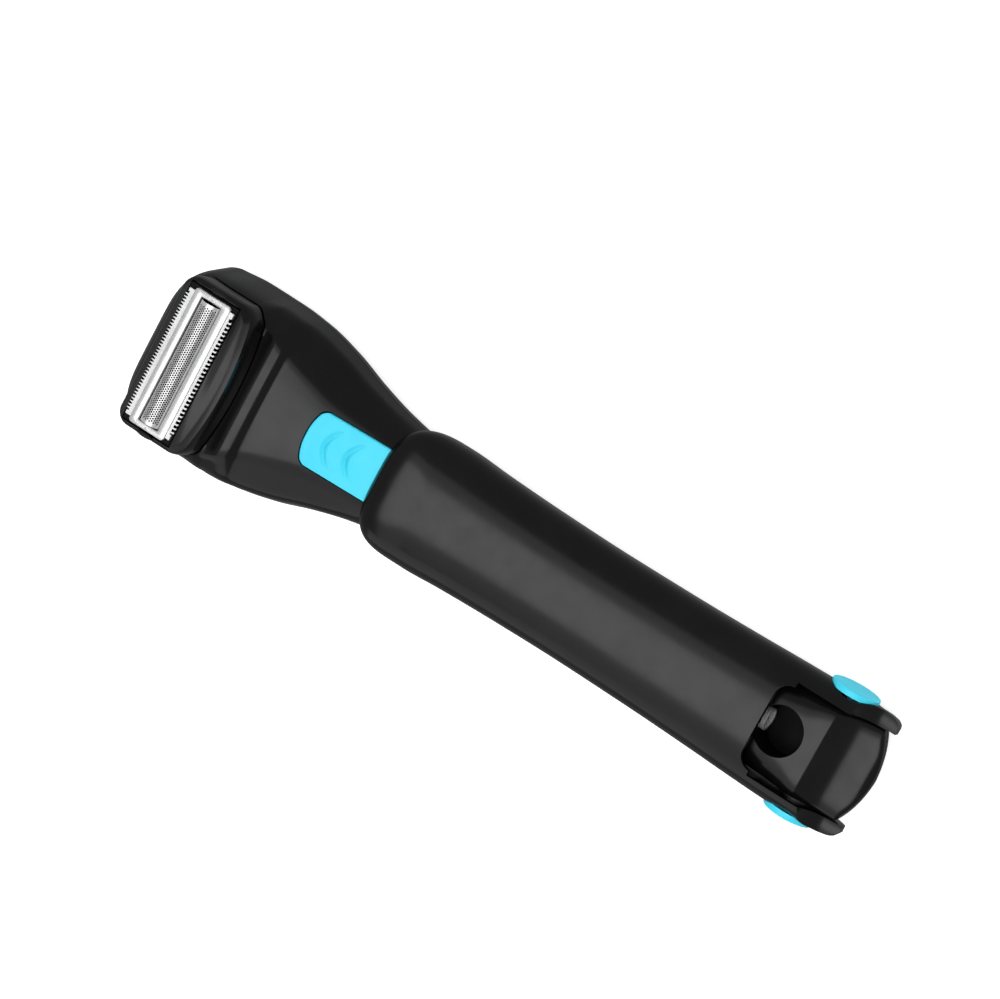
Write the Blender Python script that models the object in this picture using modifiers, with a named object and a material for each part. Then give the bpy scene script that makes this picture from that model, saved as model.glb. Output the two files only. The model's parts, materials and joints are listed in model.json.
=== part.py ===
"""Folding body groomer: a shaver body with a foil head and a channel handle that folds over its neck.

The groomer lies on its back, head towards -X and hinge towards +X, with the foil facing +Z. The origin
is the middle of its bounding box, on the face it rests on. Lengths below are in millimetres; every
function turns them into metres with MM.
"""
import math

import bmesh
import bpy
from mathutils import Matrix, Vector

MM = 0.001

# Driving dimensions, in millimetres
NOSE_X = -109.4            # head end of the body
TAIL_X = 109.4             # hinge end of the body
PARTING_Z = 9.0            # plane where the front and rear shells meet
WALL = 1.5                 # wall of the body shells
GAP = 0.3                  # gap between pieces that touch

NOSE_LENGTH = 10.4         # length over which the head end rounds off
NOSE_POWER = 2.1
TAIL_ARC_RADIUS = 25.0     # plan radius of the hinge end

HINGE_X, HINGE_Z = 95.0, 10.5
HANDLE_TIP_X = -36.7
EAR_START_X, EAR_END_X = 84.0, 108.6
HANDLE_WALL = 2.2
HANDLE_DROP = 10.5         # height of the handle's arch above its side walls
HANDLE_POWER = 3.2         # squareness of the arch along the neck
TIP_POWER = 6.0            # and in the middle of the front tip
TIP_LENGTH = 16.0          # length over which the tip rounds off in plan
TIP_PLAN_POWER = 3.4
TIP_ROOM_Z = 19.2          # underside of the tip, over the slide switch
NOTCH_X = 80.5             # where the handle's web stops
NOTCH_HALF_WIDTH = 11.6
EAR_OUTER_Y = 17.1         # outer face of an ear at the hinge
EAR_INNER_Y = 12.95
EAR_RADIUS = 9.6           # underside of an ear, round the hinge
EAR_SCOOP_RADIUS = 9.5     # scoop in the ears' tops, and its axis
EAR_SCOOP_X, EAR_SCOOP_Z = 108.0, 20.5
HINGE_BORE_RADIUS = 4.35
BUTTON_POCKET_Y = 14.1     # floor of the pocket that a release button sits in

BUTTON_RADIUS = 6.5
BUTTON_FACE_Y = 18.5
BUTTON_TRAVEL = 1.2
PIN_FLANGE_Y = 14.8        # outer face of a hinge pin's flange
BUTTON_STOP_Y = PIN_FLANGE_Y + BUTTON_TRAVEL + 0.1

HEAD_X = -91.3             # middle of the cutting head
HEAD_TOP_Z = 34.6
CASING_X0, CASING_X1 = -101.8, -80.2    # head and tail side, without the bulge of the tail side
CASING_BULGE = 2.8
CASING_HALF_Y = 21.4
FOIL_RADIUS = 2.9
FOIL_AXIS_Z = HEAD_TOP_Z - FOIL_RADIUS
FRAME_HALF_X, FRAME_HALF_Y = 5.3, 19.1
FRAME_WINDOW_X, FRAME_WINDOW_Y = 3.2, 17.6
FRAME_Z0, FRAME_Z1 = 32.2, 33.1
HOLDER_Z0, HOLDER_Z1 = 28.9, 31.9
HOLDER_X0, HOLDER_X1 = HEAD_X - 7.7, HEAD_X + 7.2
HOLDER_WALL = 0.6
COMB_Z0, COMB_Z1, COMB_HALF_Y = 32.0, 32.6, 18.0
CUTTER_TRAVEL = 0.9        # each way, along Y
CARTRIDGE_WINDOW_Y = 17.3  # half-length of the window in the foil holder
CUTTER_HALF_Y = CARTRIDGE_WINDOW_Y - CUTTER_TRAVEL - 0.4

MOTOR_X, MOTOR_Z = -84.5, 10.5     # front face and axis height of the motor
MOTOR_RADIUS, MOTOR_LENGTH = 7.7, 23.0
SHAFT_RADIUS = 1.0
LEVER_PIVOT_Z = 5.0
LEVER_TOP_Z = 28.4
CAM_X, CAM_ECCENTRICITY = -89.4, 0.25

SWITCH_X0, SWITCH_X1 = -57.3, -35.4
SWITCH_HALF_WIDTH = 7.5
SWITCH_TRAVEL = 3.5

SOCKET_X, SOCKET_RADIUS = 85.1, 6.4
JACK_X, JACK_Z = 79.3, 11.8
CELL_RADIUS, CELL_LENGTH, CELL_X0, CELL_Z = 7.1, 48.5, -28.0, 9.0

REAR_POWER = 3.0           # squareness of the rear shell's cross-section

# Plan half-width of the body at stations along X, between the rounded ends
BODY_PLAN = [(-99.0, 24.2), (-91.0, 24.9), (-80.0, 24.8), (-70.8, 24.0), (-60.6, 21.7), (-50.4, 18.3),
             (-40.3, 15.6), (-30.0, 13.9), (-15.0, 13.0), (20.0, 12.7), (70.0, 12.6), (TAIL_X, 12.6)]
# Height of the front face on the centre line
BODY_TOP = [(-99.0, 27.6), (-84.0, 27.6), (-81.5, 26.9), (-79.0, 25.6), (-76.6, 24.1), (-75.3, 23.4),
            (-73.2, 23.1), (-71.6, 22.5), (-70.0, 22.25), (-55.4, 20.6), (-37.0, 18.4), (-25.0, 18.0),
            (60.0, 18.0), (84.0, 17.7), (95.0, 17.4), (96.4, 16.7), (98.6, 15.3), (101.5, 13.6),
            (105.0, 11.9), (108.0, 10.4), (TAIL_X, 9.5)]
# Depth of the rear shell below the parting plane, before its back is cut flat at Z = 0
REAR_DEPTH = [(NOSE_X, 9.7), (94.0, 9.7), (99.0, 8.9), (103.0, 6.9), (106.0, 4.8), (108.0, 3.0),
              (TAIL_X, 1.4)]
# Squareness of the cross-section, and how much it narrows towards the front face
BODY_POWER = [(-99.0, 6.0), (-82.0, 6.0), (-70.0, 3.4), (-50.0, 3.0), (-30.0, 3.0), (70.0, 3.2),
              (88.0, 7.0), (TAIL_X, 7.0)]
BODY_TAPER = [(-99.0, 0.12), (-82.0, 0.13), (-70.0, 0.16), (-40.0, 0.10), (-20.0, 0.02), (TAIL_X, 0.0)]
# Outer half-width of the handle, and the height of its web's outer face
HANDLE_PLAN = [(HANDLE_TIP_X, 17.3), (-20.0, 17.3), (-8.0, 16.6), (10.0, 16.0), (27.0, 15.75),
               (48.0, 15.9), (66.0, 16.3), (81.0, 16.8), (95.0, EAR_OUTER_Y), (103.5, EAR_OUTER_Y),
               (106.2, 16.8), (107.7, 16.1), (EAR_END_X, 15.0)]
HANDLE_TOP = [(HANDLE_TIP_X, 21.8), (-30.0, 22.0), (-10.0, 21.8), (60.0, 21.4), (84.0, 21.2),
              (95.0, 20.8), (EAR_END_X, 20.0)]
# Lower edge of the handle's side walls
HANDLE_RIM = [(HANDLE_TIP_X, 19.4), (-36.0, 18.8), (-35.0, 17.4), (-33.0, 15.0), (-29.0, 11.4),
              (-24.0, 9.4), (-16.0, 8.8), (60.0, 8.2), (80.0, 4.2), (88.0, 2.4), (99.0, 2.4), (103.0, 3.4),
              (106.0, 5.4), (EAR_END_X, 8.0)]

BLACK_GLOSS = ((0.012, 0.012, 0.014), 0.22, 0.0)
BLACK_MATTE = ((0.03, 0.03, 0.032), 0.5, 0.0)
BLUE = ((0.02, 0.62, 0.86), 0.4, 0.0)
STEEL = ((0.78, 0.79, 0.8), 0.25, 1.0)
DARK_STEEL = ((0.32, 0.33, 0.35), 0.35, 1.0)
BRASS = ((0.8, 0.62, 0.3), 0.3, 1.0)
WHITE_PLASTIC = ((0.8, 0.8, 0.78), 0.45, 0.0)
GREEN_BOARD = ((0.03, 0.22, 0.1), 0.5, 0.0)
CELL_WRAP = ((0.05, 0.18, 0.45), 0.35, 0.0)
RUBBER = ((0.04, 0.04, 0.04), 0.8, 0.0)


# ---------------------------------------------------------------- scene and small helpers
def clear_scene():
    for obj in list(bpy.data.objects):
        bpy.data.objects.remove(obj, do_unlink=True)


def new_collection(name):
    collection = bpy.data.collections.new(name)
    bpy.context.scene.collection.children.link(collection)
    return collection


clear_scene()
PARTS = new_collection("body_groomer")
TOOLS = new_collection("cutters")


def make_material(name, finish):
    colour, roughness, metallic = finish
    material = bpy.data.materials.new(name)
    material.use_nodes = True
    shader = material.node_tree.nodes["Principled BSDF"]
    shader.inputs["Base Color"].default_value = (*colour, 1.0)
    shader.inputs["Roughness"].default_value = roughness
    shader.inputs["Metallic"].default_value = metallic
    return material


def mesh_object(name, bm, finish=None):
    """A part with its own material, or a hidden cutter when it has no finish."""
    mesh = bpy.data.meshes.new(name)
    bm.to_mesh(mesh)
    bm.free()
    obj = bpy.data.objects.new(name, mesh)
    if finish is None:
        TOOLS.objects.link(obj)
        obj.hide_render = True
        obj.display_type = "WIRE"
    else:
        PARTS.objects.link(obj)
        mesh.materials.append(make_material(name, finish))
    return obj


def shade(obj, angle=35.0):
    obj.data.shade_smooth()
    obj.data.set_sharp_from_angle(angle=math.radians(angle))


def box(name, low, high, finish=None, bevel=0.0):
    """A box between two corners, with an optional rounded edge."""
    size = [(b - a) * MM for a, b in zip(low, high)]
    centre = [(a + b) / 2 * MM for a, b in zip(low, high)]
    bm = bmesh.new()
    bmesh.ops.create_cube(bm, size=1.0)
    bmesh.ops.scale(bm, vec=size, verts=bm.verts)
    obj = mesh_object(name, bm, finish)
    obj.location = centre
    if bevel:
        modifier = obj.modifiers.new("edge", "BEVEL")
        modifier.width = bevel * MM
        modifier.segments = 2
    return obj


AXIS_TURN = {"X": Matrix.Rotation(math.pi / 2, 4, "Y"), "Y": Matrix.Rotation(-math.pi / 2, 4, "X"),
             "Z": Matrix.Identity(4)}


def cylinder(name, radius, start, length, axis="Z", finish=None, segments=32, bevel=0.0):
    """A cylinder that starts at a point and runs along +axis for its length."""
    bm = bmesh.new()
    bmesh.ops.create_cone(bm, cap_ends=True, segments=segments, radius1=radius * MM,
                          radius2=radius * MM, depth=length * MM)
    bmesh.ops.translate(bm, vec=(0, 0, length * MM / 2), verts=bm.verts)
    obj = mesh_object(name, bm, finish)
    obj.matrix_world = Matrix.Translation(Vector(start) * MM) @ AXIS_TURN[axis]
    if bevel:
        modifier = obj.modifiers.new("edge", "BEVEL")
        modifier.width = bevel * MM
        modifier.segments = 2
        modifier.limit_method = "ANGLE"
    shade(obj)
    return obj


def turned(name, profile, place, finish, steps=36, closed=False):
    """A solid of revolution about its own Z: profile points are (radius, height), outer side downwards."""
    bm = bmesh.new()
    verts = [bm.verts.new((radius * MM, 0, height * MM)) for radius, height in profile]
    for a, b in zip(verts, verts[1:]):
        bm.edges.new((a, b))
    if closed:
        bm.edges.new((verts[-1], verts[0]))
    obj = mesh_object(name, bm, finish)
    screw = obj.modifiers.new("turn", "SCREW")
    screw.steps = steps
    screw.render_steps = steps
    screw.use_merge_vertices = True
    screw.merge_threshold = 0.00001
    screw.use_smooth_shade = True
    obj.matrix_world = place
    return obj


def ring_loft(name, rings, finish=None):
    """A closed solid through rings of equal counts, with flat ends."""
    bm = bmesh.new()
    loops = [[bm.verts.new(Vector(point) * MM) for point in ring] for ring in rings]
    count = len(loops[0])
    for loop, following in zip(loops, loops[1:]):
        for i in range(count):
            j = (i + 1) % count
            bm.faces.new((loop[i], loop[j], following[j], following[i]))
    bm.faces.new(list(reversed(loops[0])))
    bm.faces.new(loops[-1])
    bmesh.ops.recalc_face_normals(bm, faces=bm.faces)
    return mesh_object(name, bm, finish)


def boolean(target, tool, operation="DIFFERENCE", solver="EXACT"):
    modifier = target.modifiers.new(operation.lower(), "BOOLEAN")
    modifier.object = tool
    modifier.operation = operation
    modifier.solver = solver
    return target


def smooth_value(table, x):
    """Smooth interpolation through a table of (x, value), with level ends and no overshoot."""
    if x <= table[0][0]:
        return table[0][1]
    if x >= table[-1][0]:
        return table[-1][1]
    slopes = [(b[1] - a[1]) / (b[0] - a[0]) for a, b in zip(table, table[1:])]
    tangents = [slopes[0]]
    for before, after in zip(slopes, slopes[1:]):
        harmonic = 2 * before * after / (before + after) if before * after > 0 else 0.0
        tangents.append(harmonic)
    tangents.append(slopes[-1])
    for i, (a, b) in enumerate(zip(table, table[1:])):
        if x <= b[0]:
            width = b[0] - a[0]
            t = (x - a[0]) / width
            return (a[1] * (2 * t**3 - 3 * t**2 + 1) + tangents[i] * width * (t**3 - 2 * t**2 + t)
                    + b[1] * (3 * t**2 - 2 * t**3) + tangents[i + 1] * width * (t**3 - t**2))
    return table[-1][1]


# ---------------------------------------------------------------- body shells
def nose_factor(x):
    """1 along the body, falling to 0 on a rounded curve at the head end."""
    reach = (NOSE_X + NOSE_LENGTH - x) / NOSE_LENGTH
    if reach <= 0:
        return 1.0
    return max(0.0, 1 - min(reach, 1.0)**NOSE_POWER)**(1 / NOSE_POWER)


def tail_half_width(x):
    depth = max(0.0, TAIL_X - x)
    if depth >= TAIL_ARC_RADIUS:
        return TAIL_ARC_RADIUS
    return math.sqrt(TAIL_ARC_RADIUS**2 - (TAIL_ARC_RADIUS - depth)**2)


def body_half_width(x):
    return min(smooth_value(BODY_PLAN, x) * nose_factor(x), tail_half_width(x))


def body_rise(x):
    return (smooth_value(BODY_TOP, x) - PARTING_Z) * nose_factor(x)


FRONT_STATIONS = (-99, -91, -84, -81.5, -79, -76.6, -75.3, -73.2, -71.6, -70, -63, -55, -47, -40, -32,
                  -20, 10, 60, 84, 90, 95, 96.4, 98.6, 101)
REAR_STATIONS = (-99, -91, -80, -70, -60, -50, -41, -30, -15, 20, 70, 88, 94, 98, 101)


def body_stations(middle):
    """Stations along X, crowded together where the ends round off."""
    nose = [NOSE_X + NOSE_LENGTH * (1 - math.cos(math.radians(a))) for a in (0, 13, 28, 44, 60, 76)]
    arc_start = TAIL_X - (TAIL_ARC_RADIUS - math.sqrt(TAIL_ARC_RADIUS**2 - 12.6**2))
    tail = [arc_start + (TAIL_X - arc_start) * t for t in (0.0, 0.35, 0.65, 0.87, 0.97, 1.0)]
    return nose + list(middle) + tail


def section_point(half_width, rise, power, taper, angle):
    """A point of a flattened arch: (y, height above its foot)."""
    across, up = math.cos(angle), math.sin(angle)
    height = abs(up)**(2 / power)
    y = half_width * (1 - taper * height) * math.copysign(abs(across)**(2 / power), across)
    return y, rise * height


def grid_surface(rows):
    """Faces between rows of points; points that fall together are welded."""
    bm = bmesh.new()
    grid = [[bm.verts.new(Vector(point) * MM) for point in row] for row in rows]
    for row, following in zip(grid, grid[1:]):
        for i in range(len(row) - 1):
            bm.faces.new((row[i], row[i + 1], following[i + 1], following[i]))
    bmesh.ops.remove_doubles(bm, verts=bm.verts, dist=0.00002)
    bmesh.ops.dissolve_degenerate(bm, dist=0.00001, edges=bm.edges)
    return bm


def arch_surface(stations, point, across):
    """A surface of arches at stations along X."""
    return grid_surface([[(x, *point(x, math.pi * i / across)) for i in range(across + 1)]
                         for x in stations])


def thicken(obj, thickness):
    solidify = obj.modifiers.new("wall", "SOLIDIFY")
    solidify.thickness = thickness * MM
    solidify.offset = -1.0
    solidify.use_even_offset = True
    return obj


def front_point(x, angle):
    y, height = section_point(body_half_width(x), body_rise(x), smooth_value(BODY_POWER, x),
                              smooth_value(BODY_TAPER, x), angle)
    return y, PARTING_Z + GAP / 2 + height


def rear_point(x, angle):
    y, depth = section_point(body_half_width(x), smooth_value(REAR_DEPTH, x) * nose_factor(x),
                             REAR_POWER, 0.0, angle)
    return y, max(0.0, PARTING_Z - GAP / 2 - depth)


def panel_height(x):
    """Height of the front shell's outer face on the centre line."""
    return PARTING_Z + GAP / 2 + body_rise(x)


def front_height(x, y):
    """Height of the front shell's outer face above a point of its plan."""
    low, high = 0.0, math.pi / 2
    for _ in range(40):
        middle = (low + high) / 2
        if front_point(x, middle)[0] > abs(y):
            low = middle
        else:
            high = middle
    return front_point(x, low)[1]


SCREW_PLACES = {"screw_head_left": (-73.0, -15.5), "screw_head_right": (-73.0, 15.5),
                "screw_neck": (34.0, 0.0), "screw_tail": (66.0, 0.0)}
BOSS_RADIUS, SCREW_RADIUS, SCREW_HEAD_RADIUS = 2.6, 1.0, 1.9


def make_shells():
    bm = arch_surface(body_stations(FRONT_STATIONS), front_point, 18)
    front = thicken(mesh_object("front_shell", bm, BLACK_GLOSS), WALL)
    bm = arch_surface(body_stations(REAR_STATIONS), rear_point, 14)
    bmesh.ops.reverse_faces(bm, faces=bm.faces)
    rear = thicken(mesh_object("rear_shell", bm, BLACK_GLOSS), WALL)
    front_trim = box("front_trim", (-120, -40, PARTING_Z - 5), (120, 40, PARTING_Z + GAP / 2))
    rear_trim = box("rear_trim", (-120, -40, PARTING_Z - GAP / 2), (120, 40, PARTING_Z + 5))
    for obj, trim in ((front, front_trim), (rear, rear_trim)):
        boolean(obj, trim, solver="MANIFOLD")
        shade(obj, 40)

    for name, (x, y) in SCREW_PLACES.items():
        foot = PARTING_Z + GAP
        boolean(front, cylinder(f"{name}_front_boss", BOSS_RADIUS, (x, y, foot),
                                front_height(x, abs(y) + BOSS_RADIUS) - 0.5 - foot, segments=20),
                "UNION")
        boolean(rear, cylinder(f"{name}_rear_boss", BOSS_RADIUS + 0.6, (x, y, 0.8),
                               PARTING_Z - GAP - 0.8, segments=20), "UNION")
        boolean(front, cylinder(f"{name}_front_bore", SCREW_RADIUS + 0.2, (x, y, PARTING_Z - 1), 5.6,
                                segments=16))
        boolean(rear, cylinder(f"{name}_rear_bore", SCREW_RADIUS + 0.2, (x, y, -1), 12, segments=16))
        boolean(rear, cylinder(f"{name}_counterbore", SCREW_HEAD_RADIUS + 0.4, (x, y, -1), 4.2,
                               segments=20))
    return front, rear


def make_screws():
    for name, (x, y) in SCREW_PLACES.items():
        profile = [(0, 11.2), (SCREW_RADIUS - 0.15, 11.2), (SCREW_RADIUS, 10.7), (SCREW_RADIUS, 1.5),
                   (SCREW_HEAD_RADIUS, 1.5), (SCREW_HEAD_RADIUS, 0.4), (SCREW_HEAD_RADIUS - 0.4, 0),
                   (0, 0)]
        place = Matrix.Translation(Vector((x, y, 1.4)) * MM)
        turned(name, profile, place, STEEL, steps=16)


# ---------------------------------------------------------------- handle
def handle_row(spine_x, lead, spread, across):
    """Outer face of the channel from its rim up to the centre line, over one point of its outline.

    Along the sides the outline point lies level with the spine (lead 0, spread 1); round the tip it
    leads the spine towards -X.
    """
    half_width = smooth_value(HANDLE_PLAN, spine_x) * spread
    power = HANDLE_POWER + (TIP_POWER - HANDLE_POWER) * (lead / TIP_LENGTH)**2
    rim = smooth_value(HANDLE_RIM, spine_x + lead)
    foot = (rim - smooth_value(HANDLE_TOP, spine_x + lead)) / HANDLE_DROP + 1
    lowest = math.asin(max(0.0, foot)**(power / 2))
    row = [(spine_x + lead, half_width, rim)] if foot < 0 else []
    count = across - len(row)
    for i in range(count + 1):
        angle = lowest + (math.pi / 2 - lowest) * i / count
        out, height = section_point(1.0, 1.0, power, 0.0, angle)
        x = spine_x + lead * out
        row.append((x, half_width * out, smooth_value(HANDLE_TOP, x) - HANDLE_DROP * (1 - height)))
    return row


HANDLE_STATIONS = (-14, -6, 4, 16, 30, 44, 58, 70, 80, 84, 88, 92, 96, 99, 102, 104, 106.2, 107.7,
                   EAR_END_X)


def handle_rows(across):
    """Rows over the whole channel, from the -Y ear round the tip to the +Y ear."""
    tip_spine = HANDLE_TIP_X + TIP_LENGTH
    rows = [handle_row(x, 0.0, 1.0, across) for x in reversed(HANDLE_STATIONS)]
    for degrees in (0, 10, 20, 30, 40, 50, 60, 70, 80, 90):
        spread, lead = section_point(1.0, TIP_LENGTH, TIP_PLAN_POWER, 0.0, math.radians(degrees))
        rows.append(handle_row(tip_spine, -lead, spread, across))
    return [[(x, -y, z) for x, y, z in row] for row in rows] + list(reversed(rows[:-1]))


def ear_core(name):
    """What lies under the channel's outer face at the ears, as a solid."""
    inset = 0.03
    rings = []
    for x in (EAR_START_X, *(station for station in HANDLE_STATIONS if station > EAR_START_X)):
        arch = [(y, z) for _, y, z in handle_row(x, 0.0, 1.0, 10)][1:]
        half = [(max(0.0, y - inset), z - inset) for y, z in arch]
        half = [(half[0][0], 0.0)] + half
        rings.append([(x, y, z) for y, z in half] + [(x, -y, z) for y, z in reversed(half[:-1])])
    return ring_loft(name, rings)


def ear_cheek(name, low_y, high_y):
    """The thick plate of an ear: round under the hinge, then running out to the handle's end."""
    outline = [(HINGE_X - EAR_RADIUS, 24.0)]
    for degrees in range(180, 316, 15):
        angle = math.radians(degrees)
        outline.append((HINGE_X + EAR_RADIUS * math.cos(angle), HINGE_Z + EAR_RADIUS * math.sin(angle)))
    outline += [(EAR_END_X - 2.0, HINGE_Z - 4.6), (EAR_END_X - 0.5, HINGE_Z - 3.6),
                (EAR_END_X, HINGE_Z - 2.0), (EAR_END_X, 24.0)]
    return ring_loft(name, [[(x, y, z) for x, z in outline] for y in (low_y, high_y)])


def make_handle():
    bm = grid_surface(handle_rows(10))
    handle = thicken(mesh_object("handle", bm, BLACK_GLOSS), HANDLE_WALL)
    shade(handle, 40)
    # Under the front tip the neck and the slide switch need room.
    room = [(-14.1, 5.0), (14.1, 5.0), (14.1, 15.8), (12.0, TIP_ROOM_Z), (-12.0, TIP_ROOM_Z),
            (-14.1, 15.8)]
    boolean(handle, ring_loft("tip_room", [[(x, y, z) for y, z in room] for x in (-45.0, -24.0)]))

    for side in (-1, 1):
        low_y, high_y = sorted((side * (EAR_INNER_Y + 0.02), side * (EAR_OUTER_Y + 1)))
        cheek = ear_cheek(f"ear_cheek_{side}", low_y, high_y)
        boolean(cheek, ear_core(f"ear_core_{side}"), "INTERSECT")
        boolean(handle, cheek, "UNION")
    # The web stops short of the hinge so that the tail can swing through.
    boolean(handle, box("notch", (NOTCH_X, -NOTCH_HALF_WIDTH, 12.0), (120, NOTCH_HALF_WIDTH, 30),
                        bevel=3.0))
    boolean(handle, box("tail_room", (EAR_START_X, -EAR_INNER_Y, -5), (120, EAR_INNER_Y, 30)))
    # The ears' tops are scooped down towards their ends.
    boolean(handle, cylinder("ear_scoop", EAR_SCOOP_RADIUS, (EAR_SCOOP_X, -30, EAR_SCOOP_Z), 60, "Y",
                             segments=72))
    for side in (-1, 1):
        boolean(handle, cylinder(f"ear_bore_{side}", HINGE_BORE_RADIUS,
                                 (HINGE_X, side * 15 - 5, HINGE_Z), 10, "Y", segments=40))
        start = BUTTON_POCKET_Y if side > 0 else -BUTTON_POCKET_Y - 10
        boolean(handle, cylinder(f"ear_pocket_{side}", BUTTON_RADIUS + 0.2, (HINGE_X, start, HINGE_Z),
                                 10, "Y", segments=48))
    return handle


def hinge_place(side):
    """A frame on the hinge axis whose Z points out of the groomer's side."""
    return Matrix.Translation(Vector((HINGE_X, 0, HINGE_Z)) * MM) @ Matrix.Rotation(
        -side * math.pi / 2, 4, "X")


def make_hinge(front, rear):
    for side, word in ((-1, "left"), (1, "right")):
        place = hinge_place(side)
        pin = [(1.5, 7.6), (1.5, 9.0), (2.9, 9.0), (2.9, PIN_FLANGE_Y), (6.2, PIN_FLANGE_Y),
               (6.2, PIN_FLANGE_Y - 0.4), (4.0, PIN_FLANGE_Y - 0.4), (4.0, 10.3), (3.5, 10.3),
               (3.5, 7.6)]
        turned(f"hinge_pin_{word}", pin, place, DARK_STEEL, closed=True)
        ring = [(3.8, 10.0), (4.2, 10.0), (4.2, 8.2), (3.8, 8.2)]
        turned(f"lock_ring_{word}", ring, place, STEEL, closed=True)
        button = [(0, BUTTON_FACE_Y), (5.8, BUTTON_FACE_Y), (6.25, BUTTON_FACE_Y - 0.12),
                  (BUTTON_RADIUS, BUTTON_FACE_Y - 0.45),
                  (BUTTON_RADIUS, BUTTON_STOP_Y), (1.2, BUTTON_STOP_Y), (1.2, 9.8), (0, 9.8)]
        turned(f"release_button_{word}", button, place, BLUE, steps=48)
        coil(f"button_spring_{word}", 2.1, 0.3, 4, 9.3, 14.6, place)
        for shell in (front, rear):
            start = 6 if side > 0 else -14
            bore = cylinder(f"tail_bore_{word}_{shell.name}", HINGE_BORE_RADIUS,
                            (HINGE_X, start, HINGE_Z), 8, "Y", segments=40)
            boolean(shell, bore, solver="MANIFOLD")


def coil(name, radius, wire, turns, low, high, place, finish=STEEL):
    """A compression spring about its own Z, between two heights."""
    curve = bpy.data.curves.new(name, "CURVE")
    curve.dimensions = "3D"
    curve.bevel_depth = wire * MM
    curve.bevel_resolution = 0
    curve.use_fill_caps = True
    spline = curve.splines.new("POLY")
    per_turn = 12
    count = turns * per_turn + 1
    spline.points.add(count - 1)
    for i in range(count):
        angle = 2 * math.pi * i / per_turn
        height = low + wire + (high - low - 2 * wire) * i / (count - 1)
        spline.points[i].co = (radius * math.cos(angle) * MM, radius * math.sin(angle) * MM,
                               height * MM, 1)
    obj = bpy.data.objects.new(name, curve)
    PARTS.objects.link(obj)
    curve.materials.append(make_material(name, finish))
    obj.matrix_world = place
    return obj


# ---------------------------------------------------------------- cutting head
def rounded_outline(x0, x1, half_y, corner, bulge, points=6):
    """Rounded rectangle in plan; its +X side bulges out on an arc."""
    outline = []
    for cx, cy, start in ((x1 - corner, half_y - corner, 0), (x0 + corner, half_y - corner, 90),
                          (x0 + corner, corner - half_y, 180), (x1 - corner, corner - half_y, 270)):
        for i in range(points + 1):
            angle = math.radians(start + 90 * i / points)
            outline.append([cx + corner * math.cos(angle), cy + corner * math.sin(angle)])
    steps = 10
    for i in range(1, steps):
        outline.append([x1, (corner - half_y) * (1 - 2 * i / steps)])
    for point in outline:
        if point[0] > x1 - corner and abs(point[1]) < half_y:
            point[0] += bulge * (1 - (point[1] / half_y)**2) * (point[0] - x1 + corner) / corner
    return outline


def outline_loft(name, levels, finish=None):
    """A closed solid through outlines at rising heights."""
    return ring_loft(name, [[(x, y, z) for x, y in outline] for z, outline in levels], finish)


def casing_outline(inset, tail_inset, grow=0.0):
    return rounded_outline(CASING_X0 + inset - grow, CASING_X1 - tail_inset + grow,
                           CASING_HALF_Y - inset + grow, 4.0 - 0.5 * inset, CASING_BULGE)


CASING_FLOOR_Z = 22.6
CASING_TOP_Z = 31.8


def make_casing(front):
    levels = [(CASING_FLOOR_Z, casing_outline(0, 0)), (27.6, casing_outline(0, 0)),
              (29.6, casing_outline(0.1, 0.35)), (31.0, casing_outline(0.5, 0.9)),
              (CASING_TOP_Z, casing_outline(1.3, 2.4))]
    casing = outline_loft("head_casing", levels, BLACK_GLOSS)
    boolean(casing, box("casing_hollow", (-100.3, -19.9, 20), (-82.9, 19.9, 30.2)))
    boolean(casing, box("casing_window", (HEAD_X - 8.0, -19.9, 25), (HEAD_X + 7.5, 19.9, 40)))
    shade(casing, 30)
    pocket_levels = [(z, casing_outline(0, 0, GAP)) for z in (CASING_FLOOR_Z - 0.4, 40)]
    boolean(front, outline_loft("casing_pocket", pocket_levels))
    for side, word in ((-1, "left"), (1, "right")):
        pad = turned(f"end_pad_{word}", [(0, 0.5), (2.2, 0.35), (2.6, 0.0), (2.6, -0.25), (0, -0.25)],
                     Matrix.Identity(4), BLACK_MATTE, steps=28)
        pad.matrix_world = (Matrix.Translation(Vector((HEAD_X, side * 20.35, CASING_TOP_Z + 0.45)) * MM)
                            @ Matrix.Diagonal((1.0, 0.23, 1.0, 1.0)))
    return casing


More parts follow.
